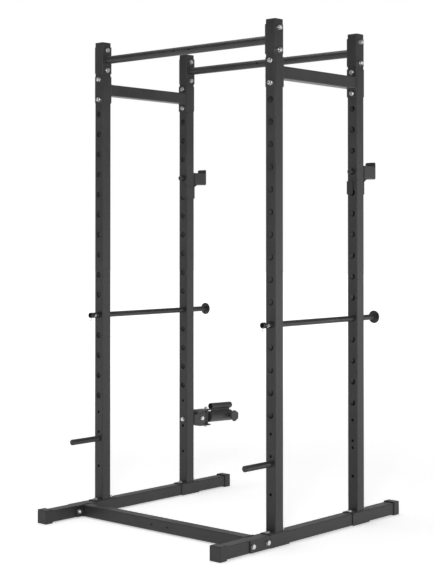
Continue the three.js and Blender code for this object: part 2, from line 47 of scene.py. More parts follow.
# ==== base rails ====
# Two lengths of 50 mm square steel tube that lie front to back and carry the whole cage.
# Roll-formed with rounded corners, drilled from above for the foot bolts and through the sides
# for the cross tube's bolts, then powder coated in fine-textured charcoal.
TUBE = 0.050
TUBE_WALL = 0.002
TUBE_CORNER = 0.003
BOLT_HOLE = 0.0066
FOOT_BOLT_OFFSET = 0.045
CROSS_BOLT_OFFSET = 0.045
BROKEN_EDGE = 0.0005  # how far the cut edges are rounded by deburring and by the coat
ALONG = {"x": (0, math.pi / 2, 0), "y": (math.pi / 2, 0, 0), "z": (0, 0, 0)}
CHARCOAL = (0.018, 0.018, 0.019, 1)
CHARCOAL_PALE = (0.031, 0.031, 0.033, 1)
WORN_COAT = (0.13, 0.13, 0.135, 1)
DUST = (0.20, 0.195, 0.185, 1)


def put_down():
    """Leaves edit mode with nothing selected, ready for a new primitive."""
    if bpy.context.object and bpy.context.object.mode != "OBJECT":
        bpy.ops.object.mode_set(mode="OBJECT")
    bpy.ops.object.select_all(action="DESELECT")


def take(piece):
    """Leaves one piece selected, in object mode."""
    put_down()
    piece.select_set(True)
    bpy.context.view_layer.objects.active = piece


def open_points():
    """Edit mode with every point of the piece selected."""
    bpy.ops.object.mode_set(mode="EDIT")
    bpy.ops.mesh.select_mode(type="VERT")
    bpy.ops.mesh.select_all(action="SELECT")


def settle(name):
    """Names the new primitive and puts its size and place into its mesh."""
    piece = bpy.context.object
    piece.name = piece.data.name = name
    bpy.ops.object.transform_apply(location=True, rotation=True, scale=True)
    return piece


def start_block(name, low, high):
    """A block between two corners, to be shaped into a piece."""
    middle = [(a + b) / 2 for a, b in zip(low, high)]
    size = [b - a for a, b in zip(low, high)]
    put_down()
    bpy.ops.mesh.primitive_cube_add(size=1, location=middle, scale=size)
    return settle(name)


def start_round(name, radius, length, middle, axis, sides=32):
    """A round blank about its middle, to be shaped or used as a drill."""
    put_down()
    bpy.ops.mesh.primitive_cylinder_add(
        vertices=sides, radius=radius, depth=length, location=middle, rotation=ALONG[axis]
    )
    return settle(name)


def pick(piece, kind, test):
    """In edit mode, selects the faces, edges or points whose place and direction pass a test."""
    take(piece)
    bpy.ops.object.mode_set(mode="EDIT")
    bpy.ops.mesh.select_mode(type=kind)
    bpy.ops.mesh.select_all(action="DESELECT")
    shape = bmesh.from_edit_mesh(piece.data)
    if kind == "FACE":
        for face in shape.faces:
            if test(face.calc_center_median(), face.normal):
                face.select_set(True)
    elif kind == "EDGE":
        for edge in shape.edges:
            start, end = (point.co for point in edge.verts)
            if test((start + end) / 2, (end - start).normalized()):
                edge.select_set(True)
    else:
        for point in shape.verts:
            if test(point.co, point.normal):
                point.select_set(True)
    shape.select_flush_mode()
    bmesh.update_edit_mesh(piece.data)


def apply_modifier(piece, kind, **settings):
    take(piece)
    bpy.ops.object.modifier_add(type=kind)
    modifier = piece.modifiers[-1]
    for setting, value in settings.items():
        setattr(modifier, setting, value)
    bpy.ops.object.modifier_apply(modifier=modifier.name)


def join(piece, *others):
    take(piece)
    for other in others:
        other.select_set(True)
    bpy.ops.object.join()
    return piece


def cut(piece, cutters, operation="DIFFERENCE"):
    """Cuts a piece with others, which are used up."""
    tool = join(*cutters)
    apply_modifier(piece, "BOOLEAN", operation=operation, solver="EXACT", object=tool)
    bpy.data.objects.remove(tool)


def drill(piece, radius, axis, places, depth=0.07):
    cut(piece, [start_round("drill", radius, depth, place, axis) for place in places])


def break_edges(piece, width=BROKEN_EDGE, segments=2, limit=40):
    apply_modifier(
        piece, "BEVEL", width=width, segments=segments, limit_method="ANGLE",
        angle_limit=math.radians(limit),
    )


def smooth(piece, limit=38):
    """Smooth shading that leaves the flats flat."""
    take(piece)
    bpy.ops.object.shade_smooth_by_angle(angle=math.radians(limit))
    apply_modifier(piece, "WEIGHTED_NORMAL", keep_sharp=True, weight=90)


def square_tube(name, low, high, axis):
    """Square tube between two corners with open ends: axis is 0, 1 or 2."""
    tube = start_block(name, low, high)
    pick(tube, "EDGE", lambda at, along: abs(along[axis]) > 0.9)
    bpy.ops.mesh.bevel(offset=TUBE_CORNER, segments=4, affect="EDGES")
    pick(tube, "FACE", lambda at, normal: abs(normal[axis]) > 0.9)
    bpy.ops.mesh.delete(type="FACE")
    apply_modifier(tube, "SOLIDIFY", thickness=TUBE_WALL, offset=-1, use_even_offset=True)
    return tube


def copy_to(piece, name, matrix):
    """A copy with its own mesh, at another place."""
    take(piece)
    bpy.ops.object.duplicate()
    twin = bpy.context.object
    twin.name = twin.data.name = name
    twin.matrix_world = matrix
    bpy.ops.object.transform_apply(location=True, rotation=True, scale=True)
    return twin


def fit(piece, body, slot, finish, *nodes):
    """Coats a finished piece and hangs it on its body, in place of the plain solids."""
    piece.data.materials.clear()
    piece.data.materials.append(finish)
    for face in piece.data.polygons:
        face.material_index = 0
    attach(piece, body)
    if nodes:
        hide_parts(*nodes)


def each_side(master, name, body, slot, finish, node, matrix=Matrix()):
    """Fits a copy of a piece on each side of the cage; the names hold {side} where it belongs."""
    for side, x in side_x.items():
        piece = copy_to(master, name.format(side=side), Matrix.Translation((x, 0, 0)) @ matrix)
        fit(piece, body.format(side=side), slot, finish, node.format(side=side))


def add_node(tree, kind, inputs=None, **settings):
    """A node with its settings and inputs, each input a value or another node's output."""
    node = tree.nodes.new(kind)
    for setting, value in settings.items():
        setattr(node, setting, value)
    for socket, value in (inputs or {}).items():
        if isinstance(value, bpy.types.NodeSocket):
            tree.links.new(value, node.inputs[socket])
        else:
            node.inputs[socket].default_value = value
    return node


def remap(tree, value, low, high, to_low=0.0, to_high=1.0):
    inputs = {"Value": value, "From Min": low, "From Max": high, "To Min": to_low, "To Max": to_high}
    return add_node(tree, "ShaderNodeMapRange", inputs).outputs["Result"]


def calculate(tree, operation, *values):
    return add_node(tree, "ShaderNodeMath", dict(enumerate(values)), operation=operation).outputs[0]


def multiply(tree, first, *others):
    for other in others:
        first = calculate(tree, "MULTIPLY", first, other)
    return first


def object_place(tree):
    return add_node(tree, "ShaderNodeTexCoord").outputs["Object"]


def height_part(tree, vector):
    """How much of a direction points up."""
    return add_node(tree, "ShaderNodeSeparateXYZ", {0: vector}).outputs["Z"]


def mix_colour(tree, share, first, second):
    return add_node(tree, "ShaderNodeMix", {0: share, 6: first, 7: second}, data_type="RGBA").outputs[2]


def new_effect(name, inputs, output):
    """A node group with number inputs and one number output."""
    group = bpy.data.node_groups.new(name, "ShaderNodeTree")
    for socket, value in inputs.items():
        entry = group.interface.new_socket(socket, in_out="INPUT", socket_type="NodeSocketFloat")
        entry.default_value = value
    group.interface.new_socket(output, in_out="OUTPUT", socket_type="NodeSocketFloat")
    return group, group.nodes.new("NodeGroupInput"), group.nodes.new("NodeGroupOutput")


def noise(tree, scale, detail=3.0, vector=None):
    inputs = {"Vector": vector or object_place(tree), "Scale": scale, "Detail": detail}
    return add_node(tree, "ShaderNodeTexNoise", inputs).outputs["Fac"]


def use_effect(tree, group, **inputs):
    inputs = {socket.replace("_", " "): value for socket, value in inputs.items()}
    return add_node(tree, "ShaderNodeGroup", inputs, node_tree=group).outputs[0]


# Fine surface texture: the orange peel of powder coat, or the spark finish of a plastic mould.
surface_grain, grain_in, grain_out = new_effect("surface grain", {"Grains per metre": 900.0}, "Height")
coarse = noise(surface_grain, grain_in.outputs[0], 2.0)
fine_scale = multiply(surface_grain, grain_in.outputs[0], 2.7)
fine = noise(surface_grain, fine_scale, 1.0)
grain = calculate(surface_grain, "MULTIPLY_ADD", fine, 0.35, coarse)
surface_grain.links.new(grain, grain_out.inputs[0])

# Wear where the edges are handled and knocked, in patches.
edge_wear, wear_in, wear_out = new_effect("edge wear", {"Reach": 0.0015, "Amount": 0.6}, "Mask")
rounded = add_node(edge_wear, "ShaderNodeBevel", {"Radius": wear_in.outputs["Reach"]}, samples=4)
facing = add_node(edge_wear, "ShaderNodeNewGeometry").outputs["Normal"]
sameness = add_node(
    edge_wear, "ShaderNodeVectorMath", {0: rounded.outputs[0], 1: facing}, operation="DOT_PRODUCT"
).outputs["Value"]
edges = remap(edge_wear, sameness, 0.99, 0.88)
patches = remap(edge_wear, noise(edge_wear, 38.0, 5.0), 0.42, 0.66)
worn = multiply(edge_wear, edges, patches, wear_in.outputs["Amount"])
edge_wear.links.new(worn, wear_out.inputs[0])

# Dust that settles on what faces up.
settled_dust, dust_in, dust_out = new_effect("settled dust", {"Amount": 0.3}, "Mask")
upward = height_part(settled_dust, add_node(settled_dust, "ShaderNodeTexCoord").outputs["Normal"])
film = remap(settled_dust, noise(settled_dust, 16.0, 6.0), 0.32, 0.72, 0.35, 1.0)
lying = multiply(settled_dust, remap(settled_dust, upward, 0.6, 0.98), film, dust_in.outputs[0])
settled_dust.links.new(lying, dust_out.inputs[0])

# Slow drift in tone and gloss across a surface.
clouding, cloud_in, cloud_out = new_effect("clouding", {"Size per metre": 7.0}, "Value")
drifting = noise(clouding, cloud_in.outputs[0], 4.0)
clouding.links.new(remap(clouding, drifting, 0.3, 0.7), cloud_out.inputs[0])


def new_finish(name, **constants):
    """A material with its constants set on the shader."""
    finish = bpy.data.materials.new(name)
    finish.use_nodes = True
    shader = finish.node_tree.nodes["Principled BSDF"]
    for socket, value in constants.items():
        shader.inputs[socket.replace("_", " ")].default_value = value
    return finish, finish.node_tree, shader


def feed(tree, shader, colour, roughness, height, strength, distance):
    """Joins a finish's colour, gloss and fine relief to its shader."""
    relief = {"Height": height, "Strength": strength, "Distance": distance}
    bump = add_node(tree, "ShaderNodeBump", relief)
    tree.links.new(colour, shader.inputs["Base Color"])
    tree.links.new(roughness, shader.inputs["Roughness"])
    tree.links.new(bump.outputs[0], shader.inputs["Normal"])


def charcoal_coat(name, wear=0.5, dust=0.35, scrapes=None, tones=(CHARCOAL, CHARCOAL_PALE)):
    """Textured powder coat; scrapes stretches fine rubbed lines along a piece that slides."""
    finish, tree, shader = new_finish(name, Specular_IOR_Level=0.42)
    drift = use_effect(tree, clouding)
    colour = mix_colour(tree, drift, *tones)
    gloss = remap(tree, drift, 0, 1, 0.36, 0.44)
    if scrapes:
        stretched = {"Vector": object_place(tree), "Scale": scrapes}
        drawn = add_node(tree, "ShaderNodeMapping", stretched).outputs[0]
        lines = remap(tree, noise(tree, 1.0, 3.0, drawn), 0.60, 0.70, 0.0, 0.45)
        colour = mix_colour(tree, lines, colour, WORN_COAT)
        gloss = calculate(tree, "SUBTRACT", gloss, multiply(tree, lines, 0.25))
    colour = mix_colour(tree, use_effect(tree, edge_wear, Amount=wear), colour, WORN_COAT)
    film = use_effect(tree, settled_dust, Amount=dust)
    colour = mix_colour(tree, film, colour, DUST)
    rough = calculate(tree, "MULTIPLY_ADD", film, 0.5, gloss)
    feed(tree, shader, colour, rough, use_effect(tree, surface_grain), 0.5, 0.0006)
    return finish


def middle_of(node):
    """The middle of a plain solid's box."""
    low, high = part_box(node)
    return (low + high) / 2


frame_coat = charcoal_coat("charcoal powder coat")
rail_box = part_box("base_rail_left")
cross_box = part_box("rear_cross_tube")
cross_y = middle_of("rear_cross_tube").y
side_x = {side: middle_of("base_rail_" + side).x for side in ("left", "right")}
end_y = {end: middle_of(f"upright_{end}_left").y for end in ("front", "rear")}
from_left = Matrix.Translation((-side_x["left"], 0, 0))
rail_mid_z = middle_of("base_rail_left").z
half = TUBE / 2
rail = square_tube("rail", rail_box[0], rail_box[1], 1)
foot_bolts_y = [y + side * FOOT_BOLT_OFFSET for y in end_y.values() for side in (-1, 1)]
cross_bolts_y = [cross_y + side * CROSS_BOLT_OFFSET for side in (-1, 1)]
drill(rail, BOLT_HOLE, "z", [(side_x["left"], y, rail_box[1].z) for y in foot_bolts_y], 0.02)
drill(rail, BOLT_HOLE, "x", [(side_x["left"], y, rail_mid_z) for y in cross_bolts_y])
break_edges(rail)
smooth(rail)
each_side(rail, "{side}_base_rail", "root", "powder_coat", frame_coat, "base_rail_{side}", from_left)
bpy.data.objects.remove(rail)

# ==== rail caps ====
# Four black caps, injection moulded in polypropylene, that slip over the ends of the base rails.
# Their thicker undersides are the cage's feet and hold the rails just off the floor.
CAP_WALL = 0.003
CAP_BACK = 0.0047
CAP_CORNER = 0.0035
PANEL_MARGIN, PANEL_DEPTH = 0.005, 0.0008
TREAD_STEP, TREAD_HALF, TREAD_DEPTH = 0.009, 0.0012, 0.0008
CAP_BLACK = (0.020, 0.020, 0.021, 1)
CAP_GREYED = (0.030, 0.030, 0.031, 1)
SCUFFED = (0.085, 0.085, 0.085, 1)


def moulded(name, grains=1500.0, tones=(CAP_BLACK, CAP_GREYED)):
    """Black moulded plastic with a fine mould texture, greyed where it is rubbed."""
    finish, tree, shader = new_finish(name, Specular_IOR_Level=0.45)
    drift = use_effect(tree, clouding, Size_per_metre=14.0)
    colour = mix_colour(tree, drift, *tones)
    colour = mix_colour(tree, use_effect(tree, edge_wear, Reach=0.0012, Amount=0.45), colour, SCUFFED)
    film = use_effect(tree, settled_dust, Amount=0.3)
    colour = mix_colour(tree, film, colour, DUST)
    rough = calculate(tree, "MULTIPLY_ADD", film, 0.3, remap(tree, drift, 0, 1, 0.42, 0.52))
    height = use_effect(tree, surface_grain, Grains_per_metre=grains)
    feed(tree, shader, colour, rough, height, 0.3, 0.0003)
    return finish


cap_plastic = moulded("black cap plastic")
for end, outward in (("front", -1), ("rear", 1)):
    low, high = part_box(f"rail_cap_{end}_left")
    cap = start_block("cap", low, high)
    middle = (low + high) / 2
    inner_y = low.y if outward > 0 else high.y
    outer_y = high.y if outward > 0 else low.y
    pick(cap, "EDGE", lambda at, along: abs(along.y) > 0.9 or abs(at.y - outer_y) < 1e-5)
    bpy.ops.mesh.bevel(offset=CAP_CORNER, segments=4, affect="EDGES")
    # a shallow panel is sunk in the outer end
    pick(cap, "FACE", lambda at, normal: abs(at.y - outer_y) < 1e-5)
    bpy.ops.mesh.inset(thickness=PANEL_MARGIN, depth=0)
    bpy.ops.mesh.inset(thickness=1.5 * PANEL_DEPTH, depth=-PANEL_DEPTH)
    # the socket for the rail
    pick(cap, "FACE", lambda at, normal: abs(at.y - inner_y) < 1e-5)
    bpy.ops.mesh.inset(thickness=CAP_WALL, depth=0)
    for side in (-1, 1):
        wall_z = middle.z + side * (middle.z - low.z - CAP_WALL)
        pick(cap, "EDGE", lambda at, along: abs(at.y - inner_y) < 1e-5 and abs(at.z - wall_z) < 1e-4)
        bpy.ops.transform.translate(value=(0, 0, -side * (CAP_BACK - CAP_WALL)))
    pick(cap, "FACE", lambda at, normal: abs(at.y - inner_y) < 1e-5 and (at - middle).xz.length < 0.005)
    depth = (outer_y - inner_y) - outward * CAP_BACK
    bpy.ops.mesh.extrude_region_move(TRANSFORM_OT_translate={"value": (0, depth, 0)})
    # tread grooves across the foot
    for step in (-1, 0, 1):
        groove_y = middle.y + step * TREAD_STEP
        near = (low.x - TUBE, groove_y - TREAD_HALF, low.z - TUBE)
        far = (high.x + TUBE, groove_y + TREAD_HALF, low.z + TREAD_DEPTH)
        cut(cap, [start_block("tread", near, far)])
    break_edges(cap, 0.0004)
    smooth(cap)
    name, node = end + "_{side}_rail_cap", "rail_cap_" + end + "_{side}"
    each_side(cap, name, "root", "moulded_plastic", cap_plastic, node, from_left)
    bpy.data.objects.remove(cap)

# ==== uprights ====
# Four posts of the same square tube, each drilled from front to back with fifteen rod holes and
# with bolt holes for the fittings. A bent channel is welded under each post and sits over the
# rail; post and channel are coated together.
ROD_HOLE = 0.0135
ROD_HOLE_LOWEST = 0.522
ROD_HOLE_PITCH = 0.090
ROD_HOLES = 15
FITTING_HOLES = (0.207, 0.329, 0.359, 0.448)
PLATE = 0.003
CLEAR = 0.0003  # clearance between parts that bear on each other
BRACKET_BOLT_OFFSET = 0.045
BEND = 0.005
BEAD = 0.0024


def bent_channel(name, low, high, opening, run):
    """Channel bent from plate between two corners: opening is the direction it opens in, run the
    axis (0, 1 or 2) along which its bends run."""
    channel = start_block(name, low, high)
    middle = (Vector(low) + Vector(high)) / 2
    opening = Vector(opening)
    pick(channel, "FACE", lambda at, normal: abs(normal[run]) > 0.9 or normal.dot(opening) > 0.9)
    bpy.ops.mesh.delete(type="FACE")
    pick(channel, "EDGE", lambda at, along: abs(along[run]) > 0.9 and (at - middle).dot(opening) < 0)
    bpy.ops.mesh.bevel(offset=BEND, segments=5, affect="EDGES")
    apply_modifier(channel, "SOLIDIFY", thickness=PLATE, offset=-1, use_even_offset=True)
    return channel


def weld_bead(matrix, square=None, radius=None, bead=BEAD, pitch=0.0018):
    """A rippled fillet weld round the end of a tube, square or round; pitch is a ripple's length."""
    put_down()
    if square:
        bpy.ops.mesh.primitive_plane_add(size=square)
        path = settle("weld")
        open_points()
        bpy.ops.mesh.bevel(offset=TUBE_CORNER, segments=3, affect="VERTICES")
        bpy.ops.mesh.select_all(action="SELECT")
        bpy.ops.mesh.delete(type="ONLY_FACE")
        pick(path, "EDGE", lambda at, along: max(abs(along.x), abs(along.y)) > 0.999)
        bpy.ops.mesh.subdivide(number_cuts=round(square / pitch))
    else:
        bpy.ops.mesh.primitive_circle_add(vertices=2 * round(math.pi * radius / pitch), radius=radius)
        path = settle("weld")
    take(path)
    bpy.ops.object.convert(target="CURVE")
    bead_line = bpy.context.object
    bead_line.data.bevel_depth = bead
    bead_line.data.bevel_resolution = 2
    for index, point in enumerate(bead_line.data.splines[0].points):
        point.radius = 1.0 + 0.16 * (index % 2) + 0.07 * math.sin(index * 0.9)
    bpy.ops.object.convert(target="MESH")
    bead_line = bpy.context.object
    bead_line.matrix_world = matrix
    bpy.ops.object.transform_apply(location=True, rotation=True, scale=True)
    smooth(bead_line, 80)
    return bead_line


foot_low, foot_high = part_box("upright_rear_left")
foot_centre = Vector((side_x["left"], end_y["rear"], 0))
post_top = foot_high.z
seat_z = rail_box[1].z + CLEAR + PLATE
post = square_tube("post", (-half, -half, seat_z), (half, half, post_top), 2)
side_rail_z = middle_of("side_rail_left").z
bar_z = middle_of("pull_up_bar_rear").z
rod_holes_z = [ROD_HOLE_LOWEST + step * ROD_HOLE_PITCH for step in range(ROD_HOLES)]
drill(post, ROD_HOLE, "y", [(0, 0, z) for z in rod_holes_z])
rail_bolts_z = [side_rail_z + side * BRACKET_BOLT_OFFSET for side in (-1, 1)]
drill(post, BOLT_HOLE, "y", [(0, 0, z) for z in (*FITTING_HOLES, *rail_bolts_z)])
drill(post, BOLT_HOLE, "x", [(0, 0, bar_z + side * BRACKET_BOLT_OFFSET) for side in (-1, 1)])
break_edges(post)
smooth(post)
channel_high = foot_high - foot_centre
channel_high.z = seat_z
foot = bent_channel("foot", foot_low - foot_centre, channel_high, (0, 0, -1), 1)
drill(foot, BOLT_HOLE, "z", [(0, side * FOOT_BOLT_OFFSET, seat_z) for side in (-1, 1)], 0.02)
break_edges(foot)
smooth(foot)
join(post, foot, weld_bead(Matrix.Translation((0, 0, seat_z)), square=TUBE))
for end, y in end_y.items():
    name, node = end + "_{side}_upright", "upright_" + end + "_{side}"
    place = Matrix.Translation((0, y, 0))
    each_side(post, name, "root", "powder_coat", frame_coat, node, place)
bpy.data.objects.remove(post)

# ==== upright caps ====
# Moulded plastic plugs pushed into the tops of the posts, each with a flat head whose top edges
# are well rounded and which covers the tube's end.
CROWN = 0.0022
PLUG_SIDE = 0.0224
PLUG_TAPER = 0.95
low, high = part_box("upright_cap_rear_left")
head_low = post_top + CLEAR
lid = start_block("lid", (-half, -half, head_low), (half, half, high.z))
pick(lid, "EDGE", lambda at, along: abs(along.z) > 0.9)
bpy.ops.mesh.bevel(offset=TUBE_CORNER, segments=4, affect="EDGES")
pick(lid, "EDGE", lambda at, along: at.z > high.z - 1e-5)
bpy.ops.mesh.bevel(offset=CROWN, segments=5, affect="EDGES")
pick(lid, "FACE", lambda at, normal: normal.z < -0.9)
bpy.ops.mesh.inset(thickness=half - PLUG_SIDE, depth=0)
bpy.ops.mesh.extrude_region_move(TRANSFORM_OT_translate={"value": (0, 0, low.z - head_low)})
bpy.ops.transform.resize(value=(PLUG_TAPER, PLUG_TAPER, 1), center_override=(0, 0, low.z))
smooth(lid)
for end, y in end_y.items():
    name, node = end + "_{side}_upright_cap", "upright_cap_" + end + "_{side}"
    place = Matrix.Translation((0, y, 0))
    each_side(lid, name, "root", "moulded_plastic", cap_plastic, node, place)
bpy.data.objects.remove(lid)

# ==== rear cross tube and backing plates ====
# A square tube that ties the two base rails together behind the rear posts. A flat plate is
# welded on each end and is bolted through the rail to a backing plate on its outer face.
CROSS_PLATE = 0.004
ACCESSORY_HOLE = 0.004
ACCESSORY_OFFSET = 0.045


def bolt_plate(name, low, high, places):
    """Flat plate on edge with rounded corners and a bolt hole at each place."""
    plate = start_block(name, low, high)
    pick(plate, "EDGE", lambda at, along: abs(along.x) > 0.9)
    bpy.ops.mesh.bevel(offset=0.003, segments=3, affect="EDGES")
    drill(plate, BOLT_HOLE, "x", places, 0.02)
    break_edges(plate)
    smooth(plate)
    return plate


low, high = cross_box
tie_low = (low.x + CROSS_PLATE, cross_y - half, rail_mid_z - half)
tie_high = (high.x - CROSS_PLATE, cross_y + half, rail_mid_z + half)
tie = square_tube("tie", tie_low, tie_high, 0)
drill(tie, ACCESSORY_HOLE, "y", [(side * ACCESSORY_OFFSET, cross_y, rail_mid_z) for side in (-1, 1)])
break_edges(tie)
smooth(tie)
parts = []
for inner, outer in ((low.x + CROSS_PLATE, low.x), (high.x - CROSS_PLATE, high.x)):
    places = [(inner, y, rail_mid_z) for y in cross_bolts_y]
    plate_low = (min(inner, outer), low.y, low.z)
    plate_high = (max(inner, outer), high.y, high.z)
    parts.append(bolt_plate("end_plate", plate_low, plate_high, places))
    turn = Matrix.Translation((inner, cross_y, rail_mid_z)) @ Matrix.Rotation(math.pi / 2, 4, "Y")
    parts.append(weld_bead(turn, square=TUBE))
tie = join(tie, *parts)
tie.name = "cross_tube"
fit(tie, "root", "powder_coat", frame_coat, "rear_cross_tube")
for side in side_x:
    low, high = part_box("backing_plate_" + side)
    places = [(low.x, y, rail_mid_z) for y in cross_bolts_y]
    backing = bolt_plate(side + "_backing_plate", low, high, places)
    fit(backing, "root", "powder_coat", frame_coat, "backing_plate_" + side)

# ==== top side rails ====
# Square tubes between the front and rear posts, near the top. Each end is welded to the web of a
# bent channel bracket, whose flanges wrap the post; bolts above and below the tube hold it.
BRACKET_WEB = 0.0283  # outer face of the web, from the middle of the post
BRACKET_EDGE = 0.023  # the flanges' edges, beyond the middle of the post
BRACKET_HALF = 0.060


def bracket(name, centre, outward, axis):
    """Channel bracket that wraps a post: outward is +1 or -1 along axis 0 or 1."""
    low, high = Vector(centre), Vector(centre)
    across = 1 - axis
    low[across] -= BRACKET_WEB
    high[across] += BRACKET_WEB
    corner_at = centre[axis] + outward * BRACKET_EDGE
    low[axis], high[axis] = sorted((centre[axis] - outward * BRACKET_WEB, corner_at))
    low.z -= BRACKET_HALF
    high.z += BRACKET_HALF
    opening = [0, 0, 0]
    opening[axis] = outward
    channel = bent_channel(name, low, high, opening, 2)
    pick(channel, "EDGE", lambda at, along: abs(along[across]) > 0.9 and abs(at[axis] - corner_at) < 1e-4)
    bpy.ops.mesh.bevel(offset=0.003, segments=3, affect="EDGES")
    web = list(centre)
    web[axis] -= outward * (BRACKET_WEB - PLATE / 2)
    places = [(web[0], web[1], centre[2] + side * BRACKET_BOLT_OFFSET) for side in (-1, 1)]
    drill(channel, BOLT_HOLE, "xy"[axis], places, 0.02)
    break_edges(channel)
    smooth(channel)
    return channel


mid_y = (end_y["front"] + end_y["rear"]) / 2
web_reach = (end_y["rear"] - end_y["front"]) / 2 - BRACKET_WEB
top_rail_middle = Vector((0, mid_y, side_rail_z))
top_rail_half = Vector((half, web_reach, half))
top_rail = square_tube("top_rail", top_rail_middle - top_rail_half, top_rail_middle + top_rail_half, 1)
smooth(top_rail)
parts = []
for end, outward in (("front", -1), ("rear", 1)):
    parts.append(bracket("wrap", (0, end_y[end], side_rail_z), outward, 1))
    place = Matrix.Translation((0, mid_y + outward * web_reach, side_rail_z))
    parts.append(weld_bead(place @ Matrix.Rotation(math.pi / 2, 4, "X"), square=TUBE))
join(top_rail, *parts)
each_side(top_rail, "{side}_side_rail", "root", "powder_coat", frame_coat, "side_rail_{side}")
bpy.data.objects.remove(top_rail)

# ==== pull-up bars ====
# Round steel tubes across the top at the front and rear, welded to the same kind of bracket at
# each end, with two small cross holes near the middle for a strap or an attachment.
BAR_RADIUS = 0.0175
BAR_BORE = 0.0155


def turned(name, profile, sides=48):
    """Turns a profile of (radius, height) pairs about the upright axis, as on a lathe; a profile
    that comes back to its start makes a ring."""
    radius, height = profile[0]
    put_down()
    bpy.ops.mesh.primitive_circle_add(vertices=sides, radius=radius, location=(0, 0, height))
    piece = settle(name)
    open_points()
    for next_radius, next_height in profile[1:]:
        bpy.ops.mesh.extrude_region_move(TRANSFORM_OT_translate={"value": (0, 0, next_height - height)})
        ratio = next_radius / radius
        bpy.ops.transform.resize(value=(ratio, ratio, 1), center_override=(0, 0, next_height))
        radius, height = next_radius, next_height
    bpy.ops.mesh.select_all(action="SELECT")
    bpy.ops.mesh.remove_doubles(threshold=1e-6)
    bpy.ops.mesh.select_all(action="SELECT")
    bpy.ops.mesh.fill_holes(sides=0)
    bpy.ops.mesh.select_all(action="SELECT")
    bpy.ops.mesh.normals_make_consistent(inside=False)
    bpy.ops.object.mode_set(mode="OBJECT")
    return piece


def stand(piece, matrix):
    """Puts a piece that was made at the origin in its place."""
    take(piece)
    piece.matrix_world = matrix
    bpy.ops.object.transform_apply(location=True, rotation=True, scale=True)
    return piece


bar_web = side_x["right"] - BRACKET_WEB
bar = turned("bar", [
    (BAR_RADIUS, -bar_web), (BAR_RADIUS, bar_web), (BAR_BORE, bar_web), (BAR_BORE, -bar_web),
    (BAR_RADIUS, -bar_web),
])
stand(bar, Matrix.Translation((0, 0, bar_z)) @ Matrix.Rotation(math.pi / 2, 4, "Y"))
drill(bar, ACCESSORY_HOLE, "y", [(side * ACCESSORY_OFFSET, 0, bar_z) for side in (-1, 1)])
break_edges(bar, 0.0003, 1, 50)
smooth(bar)
parts = []
for outward in (-1, 1):
    parts.append(bracket("wrap", (outward * side_x["right"], 0, bar_z), outward, 0))
    turn = Matrix.Translation((outward * bar_web, 0, bar_z)) @ Matrix.Rotation(math.pi / 2, 4, "Y")
    parts.append(weld_bead(turn, radius=BAR_RADIUS))
join(bar, *parts)
for end, y in end_y.items():
    piece = copy_to(bar, end + "_pull_up_bar", Matrix.Translation((0, y, 0)))
    fit(piece, "root", "powder_coat", frame_coat, "pull_up_bar_" + end)
bpy.data.objects.remove(bar)

# ==== frame bolts ====
# M12 hexagon bolts, nuts and washers, cold forged in steel and bright zinc plated. Two go
# through each bracket and post, one each side of a post into the rail, two through each end of
# the cross tube.
HEX = 0.0096
SHANK = 0.006
HEAD = 0.0075
WASHER = 0.0102
WASHER_THICKNESS = 0.0016
THREAD_PITCH = 0.00175
BEARING_GAP = 0.0001  # between a washer and the plate that it bears on
BRACKET_GRIP = TUBE + PLATE + 4 * CLEAR  # from under a head to under the nut
FOOT_GRIP = 0.0056
ZINC = (0.56, 0.57, 0.57, 1)
ZINC_BRIGHT = (0.78, 0.79, 0.78, 1)


def zinc_plate(name):
    """Bright zinc plate, clouded in patches and dulled where dust lies."""
    finish, tree, shader = new_finish(name, Metallic=1.0)
    drift = use_effect(tree, clouding, Size_per_metre=160.0)
    colour = mix_colour(tree, drift, ZINC, ZINC_BRIGHT)
    film = use_effect(tree, settled_dust, Amount=0.2)
    colour = mix_colour(tree, film, colour, DUST)
    gloss = remap(tree, noise(tree, 420.0, 4.0), 0.3, 0.7, 0.24, 0.36)
    height = use_effect(tree, surface_grain, Grains_per_metre=2200.0)
    feed(tree, shader, colour, gloss, height, 0.15, 0.0002)
    return finish


zinc = zinc_plate("bright zinc plate")


def hexagon(name, low, high, domed_low, domed_high):
    """Hexagon with its corners turned off at one end or both."""
    blank = start_round(name, HEX, high - low, (0, 0, (low + high) / 2), "z", 6)
    dome = start_round("dome", HEX * 1.001, high - low, (0, 0, (low + high) / 2), "z", 48)
    ends = [z for z, wanted in ((low, domed_low), (high, domed_high)) if wanted]
    pick(dome, "EDGE", lambda at, along: any(abs(at.z - z) < 1e-5 for z in ends))
    bpy.ops.mesh.bevel(offset=0.0016, segments=3, affect="EDGES")
    cut(blank, [dome], "INTERSECT")
    break_edges(blank, 0.0002, 1, 30)
    smooth(blank, 30)
    return blank


def washer(low):
    high = low + WASHER_THICKNESS
    bore = SHANK + 0.0005
    ring = turned("washer", [(bore, low), (WASHER, low), (WASHER, high), (bore, high), (bore, low)], 40)
    break_edges(ring, 0.0003, 2)
    smooth(ring)
    return ring


